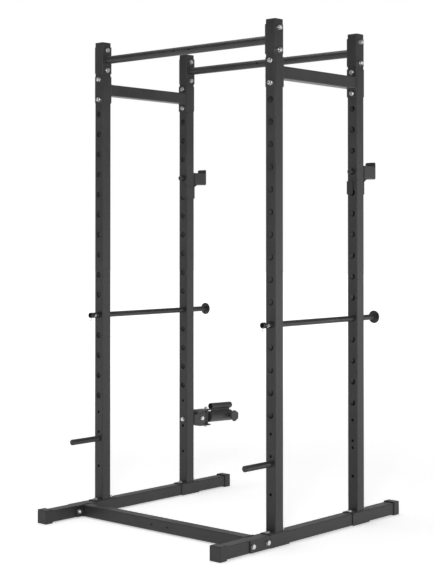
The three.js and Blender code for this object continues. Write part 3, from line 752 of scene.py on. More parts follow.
def hex_bolt(name, grip, nut=0.010, tail=0.004, head=HEAD):
    """Bolt along +Z with a washer under its head at 0 and, past the grip, a washer and a nut."""
    parts = [hexagon("head", -head, -WASHER_THICKNESS, True, False), washer(-WASHER_THICKNESS)]
    end = grip + nut + tail if nut else grip
    shank = [(SHANK, -WASHER_THICKNESS)]
    thread_start = grip + nut - 2 * THREAD_PITCH
    if nut:
        height = thread_start
        while height + THREAD_PITCH < end:
            shank += [(SHANK, height), (SHANK * 0.88, height + THREAD_PITCH / 2)]
            height += THREAD_PITCH
        shank += [(SHANK * 0.92, end - 0.0006), (SHANK * 0.80, end)]
        parts += [washer(grip), hexagon("nut", grip + WASHER_THICKNESS, grip + nut, True, True)]
    else:
        shank += [(SHANK, end)]
    stem = turned("stem", shank, 24)
    smooth(stem, 50)
    bolt = join(stem, *parts)
    bolt.name = bolt.data.name = name
    return bolt


def aim(point, direction):
    """The place of a bolt whose head bears at a point and that runs in a direction."""
    return Matrix.Translation(point) @ Vector(direction).to_track_quat("Z", "Y").to_matrix().to_4x4()


def head_seat(node, direction, head=HEAD):
    """Where the underside of a bolt's head bears, from its plain solid."""
    low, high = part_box(node)
    toward = Vector(direction)
    return (low + high) / 2 - toward * (abs((high - low).dot(toward)) / 2 - head)


bracket_bolt = hex_bolt("bracket_bolt", BRACKET_GRIP)
for end, back in (("front", -1), ("rear", 1)):
    for side, out in (("left", -1), ("right", 1)):
        for level in ("low", "high"):
            for kind, direction in (("bar_bolt", (out, 0, 0)), ("side_rail_bolt", (0, back, 0))):
                node = f"{kind}_{end}_{side}_{level}"
                place = aim(head_seat(node, direction), direction)
                bolt = copy_to(bracket_bolt, f"{end}_{side}_{level}_{kind}", place)
                fit(bolt, "root", "zinc", zinc, node)
bpy.data.objects.remove(bracket_bolt)

foot_bolt = hex_bolt("foot_bolt", FOOT_GRIP, nut=0.008, tail=0.003)
for side in side_x:
    for end in end_y:
        for where, offset in (("fore", -FOOT_BOLT_OFFSET), ("aft", FOOT_BOLT_OFFSET)):
            place = aim((side_x[side], end_y[end] + offset, seat_z + BEARING_GAP), (0, 0, -1))
            fit(copy_to(foot_bolt, f"{end}_{side}_{where}_foot_bolt", place), "root", "zinc", zinc)
bpy.data.objects.remove(foot_bolt)

cross_grip = abs(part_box("backing_plate_left")[0].x - cross_box[0].x) + CROSS_PLATE
cross_bolt = hex_bolt("cross_bolt", cross_grip)
for side, out in (("left", -1), ("right", 1)):
    low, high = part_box("backing_plate_" + side)
    face_x = low.x if out < 0 else high.x
    for where, y in zip(("fore", "aft"), cross_bolts_y):
        place = aim((face_x + out * BEARING_GAP, y, rail_mid_z), (-out, 0, 0))
        fit(copy_to(cross_bolt, f"{side}_{where}_cross_bolt", place), "root", "zinc", zinc)
bpy.data.objects.remove(cross_bolt)

# ==== safety rods ====
# Round steel tubes that are pushed through a pair of rod holes to catch the bar. A pressed disc
# is welded on the front end as a stop; the rear end is drilled for the clip and left open.
ROD_RADIUS = 0.012
ROD_BORE = 0.010
DISC_RADIUS = 0.0275
DISC_THICKNESS = 0.006
CLIP_HOLE = 0.003
CLIP_LEAN = math.radians(-28)
rod_coat = charcoal_coat("rod powder coat", wear=0.8, dust=0.2, scrapes=(420.0, 5.0, 420.0))
rod_low, rod_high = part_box("safety_rod_left")
rod_z = middle_of("safety_rod_left").z
rod_length = rod_high.y - rod_low.y
clip_y = middle_of("rod_clip_left").y
rod = turned("rod", [
    (DISC_RADIUS - 0.0015, 0), (DISC_RADIUS, 0.0015), (DISC_RADIUS, DISC_THICKNESS - 0.0015),
    (DISC_RADIUS - 0.0015, DISC_THICKNESS), (ROD_RADIUS, DISC_THICKNESS), (ROD_RADIUS, rod_length - 0.0006),
    (ROD_RADIUS - 0.0006, rod_length), (ROD_BORE, rod_length), (ROD_BORE, DISC_THICKNESS),
], 48)
stand(rod, Matrix.Translation((0, rod_low.y, 0)) @ Matrix.Rotation(-math.pi / 2, 4, "X"))
pin_hole = start_round("drill", CLIP_HOLE, 0.06, (0, 0, 0), "z", 24)
stand(pin_hole, Matrix.Translation((0, clip_y, 0)) @ Matrix.Rotation(CLIP_LEAN, 4, "Y"))
cut(rod, [pin_hole])
break_edges(rod, 0.0003, 1, 50)
smooth(rod)
disc_weld = weld_bead(
    Matrix.Translation((0, rod_low.y + DISC_THICKNESS, 0)) @ Matrix.Rotation(math.pi / 2, 4, "X"),
    radius=ROD_RADIUS, bead=0.0013,
)
join(rod, disc_weld)
raised = Matrix.Translation((0, 0, rod_z))
each_side(rod, "{side}_safety_rod", "{side}_rod", "powder_coat", rod_coat, "safety_rod_{side}", raised)
bpy.data.objects.remove(rod)

# ==== rod clips ====
# Spring clips bent from 4 mm wire and zinc plated: one straight leg goes through the rod, the
# other curves over the rod's side and flares out at its foot.
WIRE = 0.0019
CLIP_FOOT = -0.031
BOW_RISE = 0.0145
BOW_RADIUS = 0.0085
FLARE_RADIUS = 0.012
put_down()
bpy.ops.mesh.primitive_plane_add(size=0.001)
wire = settle("wire")
open_points()
bpy.ops.mesh.merge(type="CENTER")
bpy.ops.transform.translate(value=(0, 0, CLIP_FOOT))
bpy.ops.mesh.extrude_region_move(TRANSFORM_OT_translate={"value": (0, 0, BOW_RISE - CLIP_FOOT)})
bpy.ops.mesh.spin(steps=14, angle=math.pi, center=(-BOW_RADIUS, 0, BOW_RISE), axis=(0, -1, 0))
bpy.ops.mesh.extrude_region_move(TRANSFORM_OT_translate={"value": (0, 0, -BOW_RISE)})
flare_centre = (-2 * BOW_RADIUS - FLARE_RADIUS, 0, 0)
bpy.ops.mesh.spin(steps=8, angle=math.radians(55), center=flare_centre, axis=(0, 1, 0))
take(wire)
bpy.ops.object.convert(target="CURVE")
wire = bpy.context.object
wire.data.bevel_depth = WIRE
wire.data.bevel_resolution = 3
wire.data.use_fill_caps = True
bpy.ops.object.convert(target="MESH")
wire = bpy.context.object
stand(wire, Matrix.Translation((0, clip_y, rod_z)) @ Matrix.Rotation(CLIP_LEAN, 4, "Y"))
smooth(wire, 60)
each_side(wire, "{side}_rod_clip", "{side}_clip", "zinc", zinc, "rod_clip_{side}")
bpy.data.objects.remove(wire)

# ==== plate pegs ====
# Short round tubes bolted to the rear faces of the rear posts to store plates, each with a
# welded-in root wall, a moulded cap in its open end and an M12 bolt from the post's front.
PEG_RADIUS = 0.0125
PEG_BORE = 0.0105
PEG_ROOT = 0.014
PEG_BOLT_BITE = 0.012  # how far the bolt reaches past the post's tube width
peg_low, peg_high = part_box("plate_peg_left")
peg_length = peg_high.y - peg_low.y
peg = turned("peg", [
    (BOLT_HOLE, 0), (PEG_RADIUS - 0.0006, 0), (PEG_RADIUS, 0.0006), (PEG_RADIUS, peg_length - 0.0004),
    (PEG_RADIUS - 0.0004, peg_length), (PEG_BORE, peg_length), (PEG_BORE, PEG_ROOT), (BOLT_HOLE, PEG_ROOT),
    (BOLT_HOLE, 0),
])
smooth(peg)
cap_low, cap_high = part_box("plate_peg_cap_left")
plug_depth, rim_out = peg_high.y - cap_low.y, cap_high.y - peg_high.y
peg_cap = turned("peg_cap", [
    (PEG_BORE - 0.0012, -plug_depth), (PEG_BORE - 0.0003, -plug_depth + 0.002), (PEG_BORE - 0.0003, 0.0003),
    (PEG_RADIUS, 0.0003), (PEG_RADIUS, rim_out - 0.0018), (PEG_RADIUS - 0.0008, rim_out - 0.0007),
    (PEG_RADIUS - 0.002, rim_out - 0.0003),
    (PEG_RADIUS * 0.4, rim_out), (0.0004, rim_out),
])
smooth(peg_cap, 50)
peg_bolt = hex_bolt("peg_bolt", TUBE + PEG_BOLT_BITE, nut=0)
rearward = Matrix.Rotation(-math.pi / 2, 4, "X")
peg_z = middle_of("plate_peg_left").z
for side, x in side_x.items():
    root_place = Matrix.Translation((x, peg_low.y, peg_z)) @ rearward
    piece = copy_to(peg, side + "_plate_peg", root_place)
    fit(piece, "root", "powder_coat", rod_coat, "plate_peg_" + side)
    end_place = Matrix.Translation((0, peg_length, 0)) @ root_place
    piece = copy_to(peg_cap, side + "_plate_peg_cap", end_place)
    fit(piece, "root", "moulded_plastic", cap_plastic, "plate_peg_cap_" + side)
    seat = head_seat("plate_peg_bolt_" + side, (0, 1, 0))
    piece = copy_to(peg_bolt, side + "_plate_peg_bolt", aim(seat, (0, 1, 0)))
    fit(piece, "root", "zinc", zinc, "plate_peg_bolt_" + side)
for master in (peg, peg_cap, peg_bolt):
    bpy.data.objects.remove(master)

# ==== bar hooks ====
# The two hooks that carry the barbell. A round pin goes through a rod hole; a 4 mm spine stands
# on the post's front face with a folded tray welded to it, and below, a bent wrap turns round
# the inner side of the post so that the hook can't lift out.
PIN_RADIUS = 0.011
SPINE = 0.004
TRAY_WALL = 0.003
TRAY_LOW, TRAY_HIGH, LIP = -0.030, 0.025, 0.044
TRAY_HALF = 0.027
WRAP_LOW, WRAP_HIGH = -0.097, -0.040
HEEL = 0.034
PIN_END = 0.022
HOOK_REACH = 0.088
GUSSET_REACH, GUSSET_DROP = 0.018, 0.012
HOOK_HOLE = 11  # counted from the lowest rod hole, which is 0
face_y = -half - CLEAR
spine_y = face_y - SPINE
tip_y = face_y - HOOK_REACH
hook_z = rod_holes_z[HOOK_HOLE]
hook_coat = charcoal_coat("hook powder coat", wear=0.9, dust=0.25)


def folded_tray():
    """Tray folded from 3 mm plate, open at the top and against the spine, with a raised lip."""
    tray = start_block("tray", (-TRAY_HALF, tip_y, TRAY_LOW), (TRAY_HALF, spine_y, TRAY_HIGH))
    pick(tray, "FACE", lambda at, normal: normal.z > 0.9 or normal.y > 0.9)
    bpy.ops.mesh.delete(type="FACE")
    bpy.ops.mesh.select_all(action="SELECT")
    bpy.ops.mesh.bisect(plane_co=(0, tip_y + 0.009, 0), plane_no=(0, 1, 0))
    pick(tray, "VERT", lambda at, normal: at.y < tip_y + 0.001 and at.z > 0)
    bpy.ops.transform.translate(value=(0, 0, LIP - TRAY_HIGH))

    def is_bend(at, along):
        at_tip = at.y < tip_y + 1e-5
        return (at.z < TRAY_LOW + 1e-5 and (abs(along.y) > 0.9 or at_tip)) or (abs(along.z) > 0.9 and at_tip)

    pick(tray, "EDGE", is_bend)
    bpy.ops.mesh.bevel(offset=0.006, segments=5, affect="EDGES")
    # the lip's two top corners are rounded
    for reach, drop in ((0.004, 0.0015), (0.0015, 0.0035)):
        pick(tray, "VERT", lambda at, normal: at.z > TRAY_HIGH + 0.01 and abs(at.x) > TRAY_HALF - reach)
        bpy.ops.transform.translate(value=(0, 0, -drop))
    apply_modifier(tray, "SOLIDIFY", thickness=TRAY_WALL, offset=-1, use_even_offset=True)
    break_edges(tray, 0.0006)
    smooth(tray)
    return tray


def gusset(low_x):
    """Small triangular plate welded under the tray, against the spine."""
    tip = spine_y - GUSSET_REACH
    foot = TRAY_LOW - GUSSET_DROP
    web = start_block("gusset", (low_x, tip, foot), (low_x + TRAY_WALL, spine_y + 0.001, TRAY_LOW + 0.001))
    pick(web, "VERT", lambda at, normal: at.y < tip + 1e-5 and at.z < foot + 1e-5)
    bpy.ops.transform.translate(value=(0, 0, GUSSET_DROP + 0.0003))
    break_edges(web, 0.0003)
    smooth(web)
    return web


def wrap(inner):
    """Bent strap: along the spine, round the post's inner side and behind it to the heel."""
    cheek = half + CLEAR + SPINE
    low_x, high_x = sorted((-inner * half, inner * cheek))
    strap = start_block("strap", (low_x, spine_y, WRAP_LOW), (high_x, cheek, WRAP_HIGH))
    pick(strap, "FACE", lambda at, normal: abs(normal.z) > 0.9 or normal.x * inner < -0.9)
    bpy.ops.mesh.delete(type="FACE")
    pick(strap, "VERT", lambda at, normal: at.x * inner < 0 and at.y > 0)
    bpy.ops.transform.translate(value=(inner * (half + cheek - HEEL), 0, 0))
    pick(strap, "EDGE", lambda at, along: abs(along.z) > 0.9 and at.x * inner > cheek - 1e-5)
    bpy.ops.mesh.bevel(offset=0.006, segments=5, affect="EDGES")
    apply_modifier(strap, "SOLIDIFY", thickness=SPINE, offset=-1, use_even_offset=True)
    heel_edge = cheek - HEEL + 1e-4
    pick(strap, "EDGE", lambda at, along: abs(along.y) > 0.9 and at.y > 0 and at.x * inner < heel_edge)
    bpy.ops.mesh.bevel(offset=0.008, segments=4, affect="EDGES")
    break_edges(strap, 0.0006)
    smooth(strap)
    return strap


pin_length = PIN_END + half - spine_y - CLEAR
for side, out in (("left", -1), ("right", 1)):
    inner = -out
    pin_profile = [(PIN_RADIUS, 0), (PIN_RADIUS, pin_length - 0.002), (PIN_RADIUS - 0.002, pin_length)]
    pin = turned("pin", pin_profile, 40)
    stand(pin, Matrix.Translation((0, spine_y + 0.001, 0)) @ Matrix.Rotation(-math.pi / 2, 4, "X"))
    smooth(pin)
    spine = start_block("spine", (-half, spine_y, WRAP_HIGH - 0.001), (half, face_y, TRAY_HIGH))
    pick(spine, "EDGE", lambda at, along: abs(along.y) > 0.9 and at.z > 0)
    bpy.ops.mesh.bevel(offset=0.004, segments=3, affect="EDGES")
    break_edges(spine, 0.0006)
    smooth(spine)
    pin_root = Matrix.Translation((0, face_y + 0.0002, 0)) @ Matrix.Rotation(math.pi / 2, 4, "X")
    pin_weld = weld_bead(pin_root, radius=PIN_RADIUS, bead=0.0012)
    gussets = [gusset(x) for x in (-TRAY_HALF, TRAY_HALF - TRAY_WALL)]
    hook = join(spine, pin, folded_tray(), wrap(inner), pin_weld, *gussets)
    hook.name = hook.data.name = side + "_bar_hook"
    stand(hook, Matrix.Translation((side_x[side], end_y["front"], hook_z)))
    fit(hook, side + "_hook", "powder_coat", hook_coat, "bar_hook_" + side)

# ==== hook liners ====
# Tough black nylon blocks moulded to sit in the hooks' trays, under the bar and up the lip, so
# that the bar's knurling doesn't meet steel. Shallow grooves run across the top.
low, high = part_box("bar_hook_liner_left")
LINER_LIP = 0.005
LINER_FLOOR = 0.002
GROOVES = 4
GROOVE, FIRST_GROOVE, GROOVE_STEP = 0.0016, 0.022, 0.014
liner_top = hook_z + TRAY_HIGH + LINER_FLOOR
liner = start_block("liner", low, (high.x, high.y, liner_top))
open_points()
bpy.ops.mesh.bisect(plane_co=(0, low.y + LINER_LIP, 0), plane_no=(0, 1, 0))
pick(liner, "FACE", lambda at, normal: normal.z > 0.9 and at.y < low.y + LINER_LIP)
bpy.ops.mesh.extrude_region_move(TRANSFORM_OT_translate={"value": (0, 0, high.z - liner_top)})
inner_corner = Vector((0, low.y + LINER_LIP, liner_top))
pick(liner, "EDGE", lambda at, along: abs(along.x) > 0.9 and (at - inner_corner).yz.length < 1e-5)
bpy.ops.mesh.bevel(offset=0.004, segments=4, affect="EDGES")
grooves = []
for step in range(GROOVES):
    spot = ((low.x + high.x) / 2, low.y + FIRST_GROOVE + step * GROOVE_STEP, liner_top + GROOVE / 2)
    grooves.append(start_round("groove", GROOVE, 2 * TUBE, spot, "x", 16))
cut(liner, grooves)
pick(liner, "EDGE", lambda at, along: abs(along.y) > 0.9 and at.z > high.z - 1e-5)
bpy.ops.mesh.bevel(offset=0.0045, segments=5, affect="EDGES")
break_edges(liner, 0.0012, 3, 50)
smooth(liner)
liner_plastic = moulded("black liner nylon", 900.0)
name, node = "{side}_hook_liner", "bar_hook_liner_{side}"
each_side(liner, name, "{side}_hook", "moulded_plastic", liner_plastic, node, from_left)
bpy.data.objects.remove(liner)

# ==== landmine bracket ====
# A channel bent from 3 mm plate and bolted low on the front right post. Its cheeks, with small
# round corners, hold the tilt bolt, and the fork comes to rest on a small stop welded inside.
mine_low, mine_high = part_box("landmine_bracket")
mine_x = (mine_low.x + mine_high.x) / 2
post_face_y = end_y["front"] - half
tilt_z = (mine_low.z + mine_high.z) / 2
TILT_OUT = 0.052
CHEEK_OUT = 0.0293  # outer face of a cheek, from the middle of the post
STOP_REACH = 0.0226
STOP_ROOT = 0.002  # the stop starts inside the channel's web
STOP_HALF = 0.015
STOP_TOP = -0.016
WALL_BOLT_RISE = 0.003
tilt_point = Vector((mine_x, post_face_y - TILT_OUT, tilt_z))
MINE_TONES = (0.032, 0.032, 0.034, 1), (0.046, 0.046, 0.049, 1)
mine_coat = charcoal_coat("landmine powder coat", wear=0.7, dust=0.3, tones=MINE_TONES)
cheeks = bent_channel("landmine_wall_bracket", mine_low, mine_high, (0, -1, 0), 2)
pick(cheeks, "EDGE", lambda at, along: abs(along.x) > 0.9 and at.y < mine_low.y + 1e-4)
bpy.ops.mesh.bevel(offset=0.004, segments=4, affect="EDGES")
drill(cheeks, BOLT_HOLE, "y", [(mine_x, post_face_y, tilt_z + WALL_BOLT_RISE)], 0.02)
drill(cheeks, BOLT_HOLE, "x", [tilt_point], 0.08)
break_edges(cheeks)
smooth(cheeks)
stop_low = (mine_x - STOP_HALF, post_face_y - STOP_REACH, mine_low.z)
stop_high = (mine_x + STOP_HALF, post_face_y - STOP_ROOT, tilt_z + STOP_TOP)
stop = start_block("stop", stop_low, stop_high)
break_edges(stop, 0.001, 3)
smooth(stop)
join(cheeks, stop)
fit(cheeks, "root", "powder_coat", mine_coat, "landmine_bracket")
wall_grip = TUBE + PLATE + 3 * CLEAR
wall_bolt = hex_bolt("landmine_wall_bolt_and_nut", wall_grip, nut=0.007, tail=0.001)
stand(wall_bolt, aim(head_seat("landmine_wall_bolt", (0, 1, 0)), (0, 1, 0)))
fit(wall_bolt, "root", "zinc", zinc, "landmine_wall_bolt")
tilt_grip = 2 * (CHEEK_OUT + CLEAR)
tilt_bolt = hex_bolt("landmine_tilt_bolt_and_nut", tilt_grip, nut=0.008, tail=0.001)
stand(tilt_bolt, aim(head_seat("landmine_tilt_bolt", (1, 0, 0)), (1, 0, 0)))
fit(tilt_bolt, "root", "zinc", zinc, "landmine_tilt_bolt")

# ==== landmine fork ====
# Folded from 4 mm plate: short side walls take the tilt bolt, and long lugs above and below,
# round at the nose, take the swivel bolt. At rest it droops a little, on the bracket's stop.
DROOP = math.radians(2.2)
FORK_HALF_WIDTH = 0.0253
FORK_HALF_HEIGHT = 0.038
FORK_PLATE = 0.004
FORK_BACK = 0.028
FORK_CHEEK_END = -0.026
SWIVEL_OUT = 0.059
tilted = Matrix.Translation(tilt_point) @ Matrix.Rotation(DROOP, 4, "X")
yoke_low = (-FORK_HALF_WIDTH, -SWIVEL_OUT - FORK_HALF_WIDTH, -FORK_HALF_HEIGHT)
yoke_high = (FORK_HALF_WIDTH, FORK_BACK, FORK_HALF_HEIGHT)
fork = start_block("landmine_yoke", yoke_low, yoke_high)
pick(fork, "EDGE", lambda at, along: abs(along.z) > 0.9 and at.y < 0)
bpy.ops.mesh.bevel(offset=FORK_HALF_WIDTH * 0.999, segments=12, affect="EDGES")
bpy.ops.mesh.select_all(action="SELECT")
bpy.ops.mesh.bisect(plane_co=(0, FORK_CHEEK_END, 0), plane_no=(0, 1, 0))
pick(fork, "FACE", lambda at, normal: abs(normal.z) < 0.5 and at.y < FORK_CHEEK_END)
bpy.ops.mesh.delete(type="FACE")
pick(fork, "EDGE", lambda at, along: abs(along.x) > 0.9 and at.y > FORK_BACK - 1e-5)
bpy.ops.mesh.bevel(offset=0.020, segments=6, affect="EDGES")
apply_modifier(fork, "SOLIDIFY", thickness=FORK_PLATE, offset=-1, use_even_offset=True)
drill(fork, BOLT_HOLE, "x", [(0, 0, 0)], 0.08)
drill(fork, BOLT_HOLE, "z", [(0, -SWIVEL_OUT, 0)], 0.1)
break_edges(fork)
smooth(fork)
stand(fork, tilted)
fit(fork, "landmine_fork", "powder_coat", mine_coat, "landmine_fork")
swivel_grip = 2 * (FORK_HALF_HEIGHT + CLEAR)
swivel_bolt = hex_bolt("landmine_swivel_bolt_and_nut", swivel_grip, nut=0.007, tail=0.002, head=0.011)
stand(swivel_bolt, tilted @ aim((0, -SWIVEL_OUT, FORK_HALF_HEIGHT + CLEAR), (0, 0, -1)))
fit(swivel_bolt, "landmine_fork", "zinc", zinc, "landmine_swivel_bolt")

# ==== landmine sleeve ====
# A large tube for an olympic bar end, welded to a plate and an upright barrel that turns on the
# swivel bolt, with a smaller tube for a standard bar welded along its top on a rib.
SLEEVE_RADIUS, SLEEVE_BORE = 0.0265, 0.025
SLEEVE_BACK, SLEEVE_FRONT = 0.126 - TILT_OUT, 0.290 - TILT_OUT
SMALL_RADIUS, SMALL_BORE = 0.015, 0.013
SMALL_BACK, SMALL_FRONT = 0.144 - TILT_OUT, 0.288 - TILT_OUT
SMALL_RISE = 0.050
ROOT_PLATE = 0.005
BARREL_RADIUS = 0.013
BARREL_HALF = 0.033
RIB_HALF, RIB_INSET = 0.004, 0.008
LUG_HALF_WIDTH, LUG_HALF_HEIGHT = 0.008, 0.016
SEAM = 0.0022
BOSS_RADIUS, BOSS_THICKNESS = 0.0095, 0.005
KNOB_OUT = 0.270 - TILT_OUT
forward = Matrix.Rotation(math.pi / 2, 4, "X")
big = turned("big", [
    (SLEEVE_RADIUS, SLEEVE_BACK), (SLEEVE_RADIUS, SLEEVE_FRONT - 0.0006),
    (SLEEVE_RADIUS - 0.0006, SLEEVE_FRONT), (SLEEVE_BORE + 0.0004, SLEEVE_FRONT),
    (SLEEVE_BORE, SLEEVE_FRONT - 0.0004), (SLEEVE_BORE, SLEEVE_BACK + ROOT_PLATE),
], 64)
stand(big, forward)
drill(big, BOLT_HOLE, "x", [(-SLEEVE_RADIUS, -KNOB_OUT, 0)], 0.03)
smooth(big)
small = turned("small", [
    (SMALL_RADIUS, SMALL_BACK), (SMALL_RADIUS, SMALL_FRONT - 0.0005),
    (SMALL_RADIUS - 0.0005, SMALL_FRONT), (SMALL_BORE + 0.0003, SMALL_FRONT),
    (SMALL_BORE, SMALL_FRONT - 0.0003), (SMALL_BORE, SMALL_BACK), (SMALL_RADIUS, SMALL_BACK),
], 48)
stand(small, Matrix.Translation((0, 0, SMALL_RISE)) @ forward)
smooth(small)
rib_low = (-RIB_HALF, -SMALL_FRONT + RIB_INSET, SLEEVE_RADIUS - 0.002)
rib_high = (RIB_HALF, -SMALL_BACK - RIB_INSET, SMALL_RISE - SMALL_RADIUS + 0.001)
rib = start_block("rib", rib_low, rib_high)
break_edges(rib)
smooth(rib)
lug_low = (-LUG_HALF_WIDTH, -SLEEVE_BACK - 0.001, -LUG_HALF_HEIGHT)
lug_high = (LUG_HALF_WIDTH, -SWIVEL_OUT - BARREL_RADIUS * 0.6, LUG_HALF_HEIGHT)
lug = start_block("lug", lug_low, lug_high)
break_edges(lug, 0.001)
smooth(lug)
barrel = turned("barrel", [
    (BOLT_HOLE, -BARREL_HALF), (BARREL_RADIUS - 0.0008, -BARREL_HALF),
    (BARREL_RADIUS, -BARREL_HALF + 0.0008), (BARREL_RADIUS, BARREL_HALF - 0.0008),
    (BARREL_RADIUS - 0.0008, BARREL_HALF),
    (BOLT_HOLE, BARREL_HALF), (BOLT_HOLE, -BARREL_HALF),
])
stand(barrel, Matrix.Translation((0, -SWIVEL_OUT, 0)))
smooth(barrel)
boss_middle = (-SLEEVE_RADIUS - 0.0005, -KNOB_OUT, 0)
boss = start_round("boss", BOSS_RADIUS, BOSS_THICKNESS, boss_middle, "x", 6)
drill(boss, BOLT_HOLE, "x", [(-SLEEVE_RADIUS, -KNOB_OUT, 0)], 0.03)
break_edges(boss)
smooth(boss)
seams = []
seam_length = SMALL_FRONT - SMALL_BACK - 2 * RIB_INSET - 0.002
seam_y = -(SMALL_FRONT + SMALL_BACK) / 2
for side in (-1, 1):
    for height in (SLEEVE_RADIUS - 0.0004, SMALL_RISE - SMALL_RADIUS + 0.0008):
        spot = (side * (RIB_HALF + 0.0005), seam_y, height)
        seam = start_round("seam", SEAM, seam_length, spot, "y", 12)
        break_edges(seam, 0.0006)
        smooth(seam)
        seams.append(seam)
sleeve = join(big, small, rib, lug, barrel, boss, *seams)
sleeve.name = sleeve.data.name = "landmine_bar_sleeve"
stand(sleeve, tilted)
fit(sleeve, "landmine_sleeve", "powder_coat", mine_coat, "landmine_sleeve")

# ==== clamp knob ====
# A six-lobed black moulded knob on a zinc plated screw, which clamps the bar end in the sleeve.
KNOB_RADIUS = 0.027
KNOB_THICKNESS = 0.012
KNOB_STEM = 0.014
HUB_RADIUS, HUB_TIP = 0.011, 0.0075
SCREW_END = 0.010  # how far the screw's thread reaches inside the sleeve's outer face
LOBES = 6
LOBE_DEPTH = 0.003
KNOB_TONES = (0.036, 0.036, 0.037, 1), (0.060, 0.060, 0.061, 1)
LOBE_STEPS = 8  # points from the hollow between two lobes to a lobe's top
knob_low = SLEEVE_RADIUS + KNOB_STEM
knob_high = knob_low + KNOB_THICKNESS


def from_hollow(at):
    """0 in a hollow of the knob's rim, 1 at the top of a lobe."""
    turn = math.atan2(at.y, at.x) / (2 * math.pi) * LOBES
    return abs(turn % 1 - 0.5) * 2


knob_middle = (0, 0, (knob_low + knob_high) / 2)
knob = start_round("clamp_knob", KNOB_RADIUS, KNOB_THICKNESS, knob_middle, "z", 2 * LOBE_STEPS * LOBES)
for step in range(LOBE_STEPS):
    share = step / LOBE_STEPS
    pick(knob, "VERT", lambda at, normal: abs(from_hollow(at) - share) < 0.01)
    ratio = 1 - LOBE_DEPTH / KNOB_RADIUS * (1 + math.cos(math.pi * share)) / 2
    bpy.ops.transform.resize(value=(ratio, ratio, 1), center_override=(0, 0, knob_low))
pick(knob, "EDGE", lambda at, along: abs(along.z) < 0.1)
bpy.ops.mesh.bevel(offset=0.0018, segments=4, affect="EDGES")
pick(knob, "FACE", lambda at, normal: normal.z > 0.99)
bpy.ops.mesh.inset(thickness=0.004, depth=0)
bpy.ops.mesh.inset(thickness=0.001, depth=-0.0008)
smooth(knob, 50)
hub_low = SLEEVE_RADIUS + 0.0045
hub = turned("hub", [
    (HUB_TIP, hub_low), (HUB_RADIUS, hub_low + 0.0015), (HUB_RADIUS, knob_low - 0.001),
    (HUB_RADIUS + 0.002, knob_low + 0.001),
], 40)
smooth(hub)
join(knob, hub)
knob_place = tilted @ Matrix.Translation((0, -KNOB_OUT, 0)) @ Matrix.Rotation(-math.pi / 2, 4, "Y")
stand(knob, knob_place)
knob_plastic = moulded("black knob plastic", 700.0, KNOB_TONES)
fit(knob, "landmine_knob", "moulded_plastic", knob_plastic, "landmine_knob")
screw_profile = [(SHANK * 0.75, SLEEVE_RADIUS - SCREW_END - 0.0012)]
height = SLEEVE_RADIUS - SCREW_END
while height + THREAD_PITCH < SLEEVE_RADIUS + 0.006:
    screw_profile += [(SHANK, height), (SHANK * 0.88, height + THREAD_PITCH / 2)]
    height += THREAD_PITCH
screw = turned("clamp_screw", screw_profile, 32)
smooth(screw, 50)
stand(screw, knob_place)
fit(screw, "landmine_knob", "zinc", zinc)

# ==== floor, light and view ====
# A pale seamless studio floor that glows to white with distance, walls that are dimmer overhead
# and behind the camera, three softboxes, and the camera off the cage's left rear corner.
FLOOR_SIDE = 60.0
FLOOR_WHITE = (0.90, 0.90, 0.90, 1)
FLOOR_SHADE = (0.92, 0.92, 0.92, 1)
FLOOR_GLOW = (0.50, 0.50, 0.50, 1)
GLOW_FROM, GLOW_TO = 1.5, 7.0  # distances over which the glow rises to white
WALL_NEAR, WALL_FAR = 0.20, 1.35  # brightness behind the camera and beyond the cage
CEILING_SHARE = 0.36  # how bright the walls stay overhead
VIEW_AZIMUTH = math.radians(221.9312)
VIEW_ELEVATION = math.radians(-0.7105)
LENS = 82.95
SHIFT = -0.1232
STAND_X, STAND_Y, STAND_Z = -3.9040, 4.4057, 1.2396  # the camera, from the middle of the posts
back = Vector((
    math.sin(VIEW_AZIMUTH) * math.cos(VIEW_ELEVATION),
    -math.cos(VIEW_AZIMUTH) * math.cos(VIEW_ELEVATION),
    math.sin(VIEW_ELEVATION),
))
put_down()
bpy.ops.mesh.primitive_plane_add(size=FLOOR_SIDE, location=(0, 0, 0))
floor = settle("studio_floor")
floor_paint, tree, shader = new_finish(
    "pale floor", Roughness=0.9, Specular_IOR_Level=0.1, Emission_Strength=1.0
)
distance = add_node(tree, "ShaderNodeVectorMath", {0: object_place(tree)}, operation="LENGTH")
fade = remap(tree, distance.outputs["Value"], GLOW_FROM, GLOW_TO)
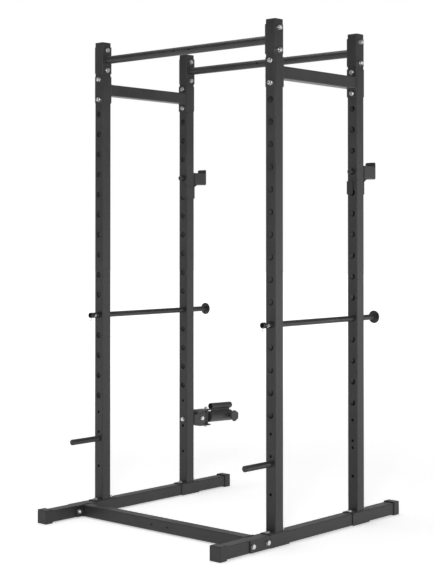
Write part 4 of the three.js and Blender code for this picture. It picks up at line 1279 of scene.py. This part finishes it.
tree.links.new(mix_colour(tree, fade, FLOOR_GLOW, (1, 1, 1, 1)), shader.inputs["Emission Color"])
shade = mix_colour(tree, noise(tree, 2.0, 3.0), FLOOR_WHITE, FLOOR_SHADE)
tree.links.new(shade, shader.inputs["Base Color"])
floor.data.materials.append(floor_paint)

sky = bpy.data.worlds.new("studio")
sky.use_nodes = True
tree = sky.node_tree
heading = add_node(tree, "ShaderNodeTexCoord").outputs["Generated"]
away = add_node(tree, "ShaderNodeVectorMath", {0: heading, 1: -back}, operation="DOT_PRODUCT")
walls = remap(tree, away.outputs["Value"], -0.20, 1.0, WALL_NEAR, WALL_FAR)
overhead = remap(tree, height_part(tree, heading), 0.0, 0.30, 1.0, CEILING_SHARE)
walls = multiply(tree, walls, overhead)
seen = add_node(tree, "ShaderNodeLightPath").outputs["Is Camera Ray"]
tree.links.new(remap(tree, seen, 0, 1, walls, 1.0), tree.nodes["Background"].inputs["Strength"])
tree.nodes["Background"].inputs["Color"].default_value = (1.0, 1.0, 1.0, 1)
bpy.context.scene.world = sky


def softbox(name, place, target, size, watts):
    light = bpy.data.lights.new(name, "AREA")
    light.shape = "SQUARE"
    light.size = size
    light.energy = watts
    lamp = bpy.data.objects.new(name, light)
    lamp.location = place
    lamp.rotation_euler = (Vector(target) - Vector(place)).to_track_quat("-Z", "Y").to_euler()
    bpy.context.scene.collection.objects.link(lamp)


softbox("side_softbox", (-3.9, -3.5, 0.9), (-0.5, 0.26, 1.1), 1.3, 20)
softbox("camera_softbox", (-3.6, 4.6, 2.6), (0, 0, 1.2), 0.9, 110)
softbox("top_softbox", (0.5, 0.5, 5.0), (0, 0, 0), 3.0, 90)

lens = bpy.data.cameras.new("view")
lens.sensor_width = 36
lens.lens = LENS
lens.shift_y = SHIFT
camera = bpy.data.objects.new("view", lens)
camera.location = (STAND_X, mid_y + STAND_Y, STAND_Z)
camera.rotation_euler = (-back).to_track_quat("-Z", "Y").to_euler()
bpy.context.scene.collection.objects.link(camera)
bpy.context.scene.camera = camera
bpy.context.scene.view_settings.view_transform = "Standard"
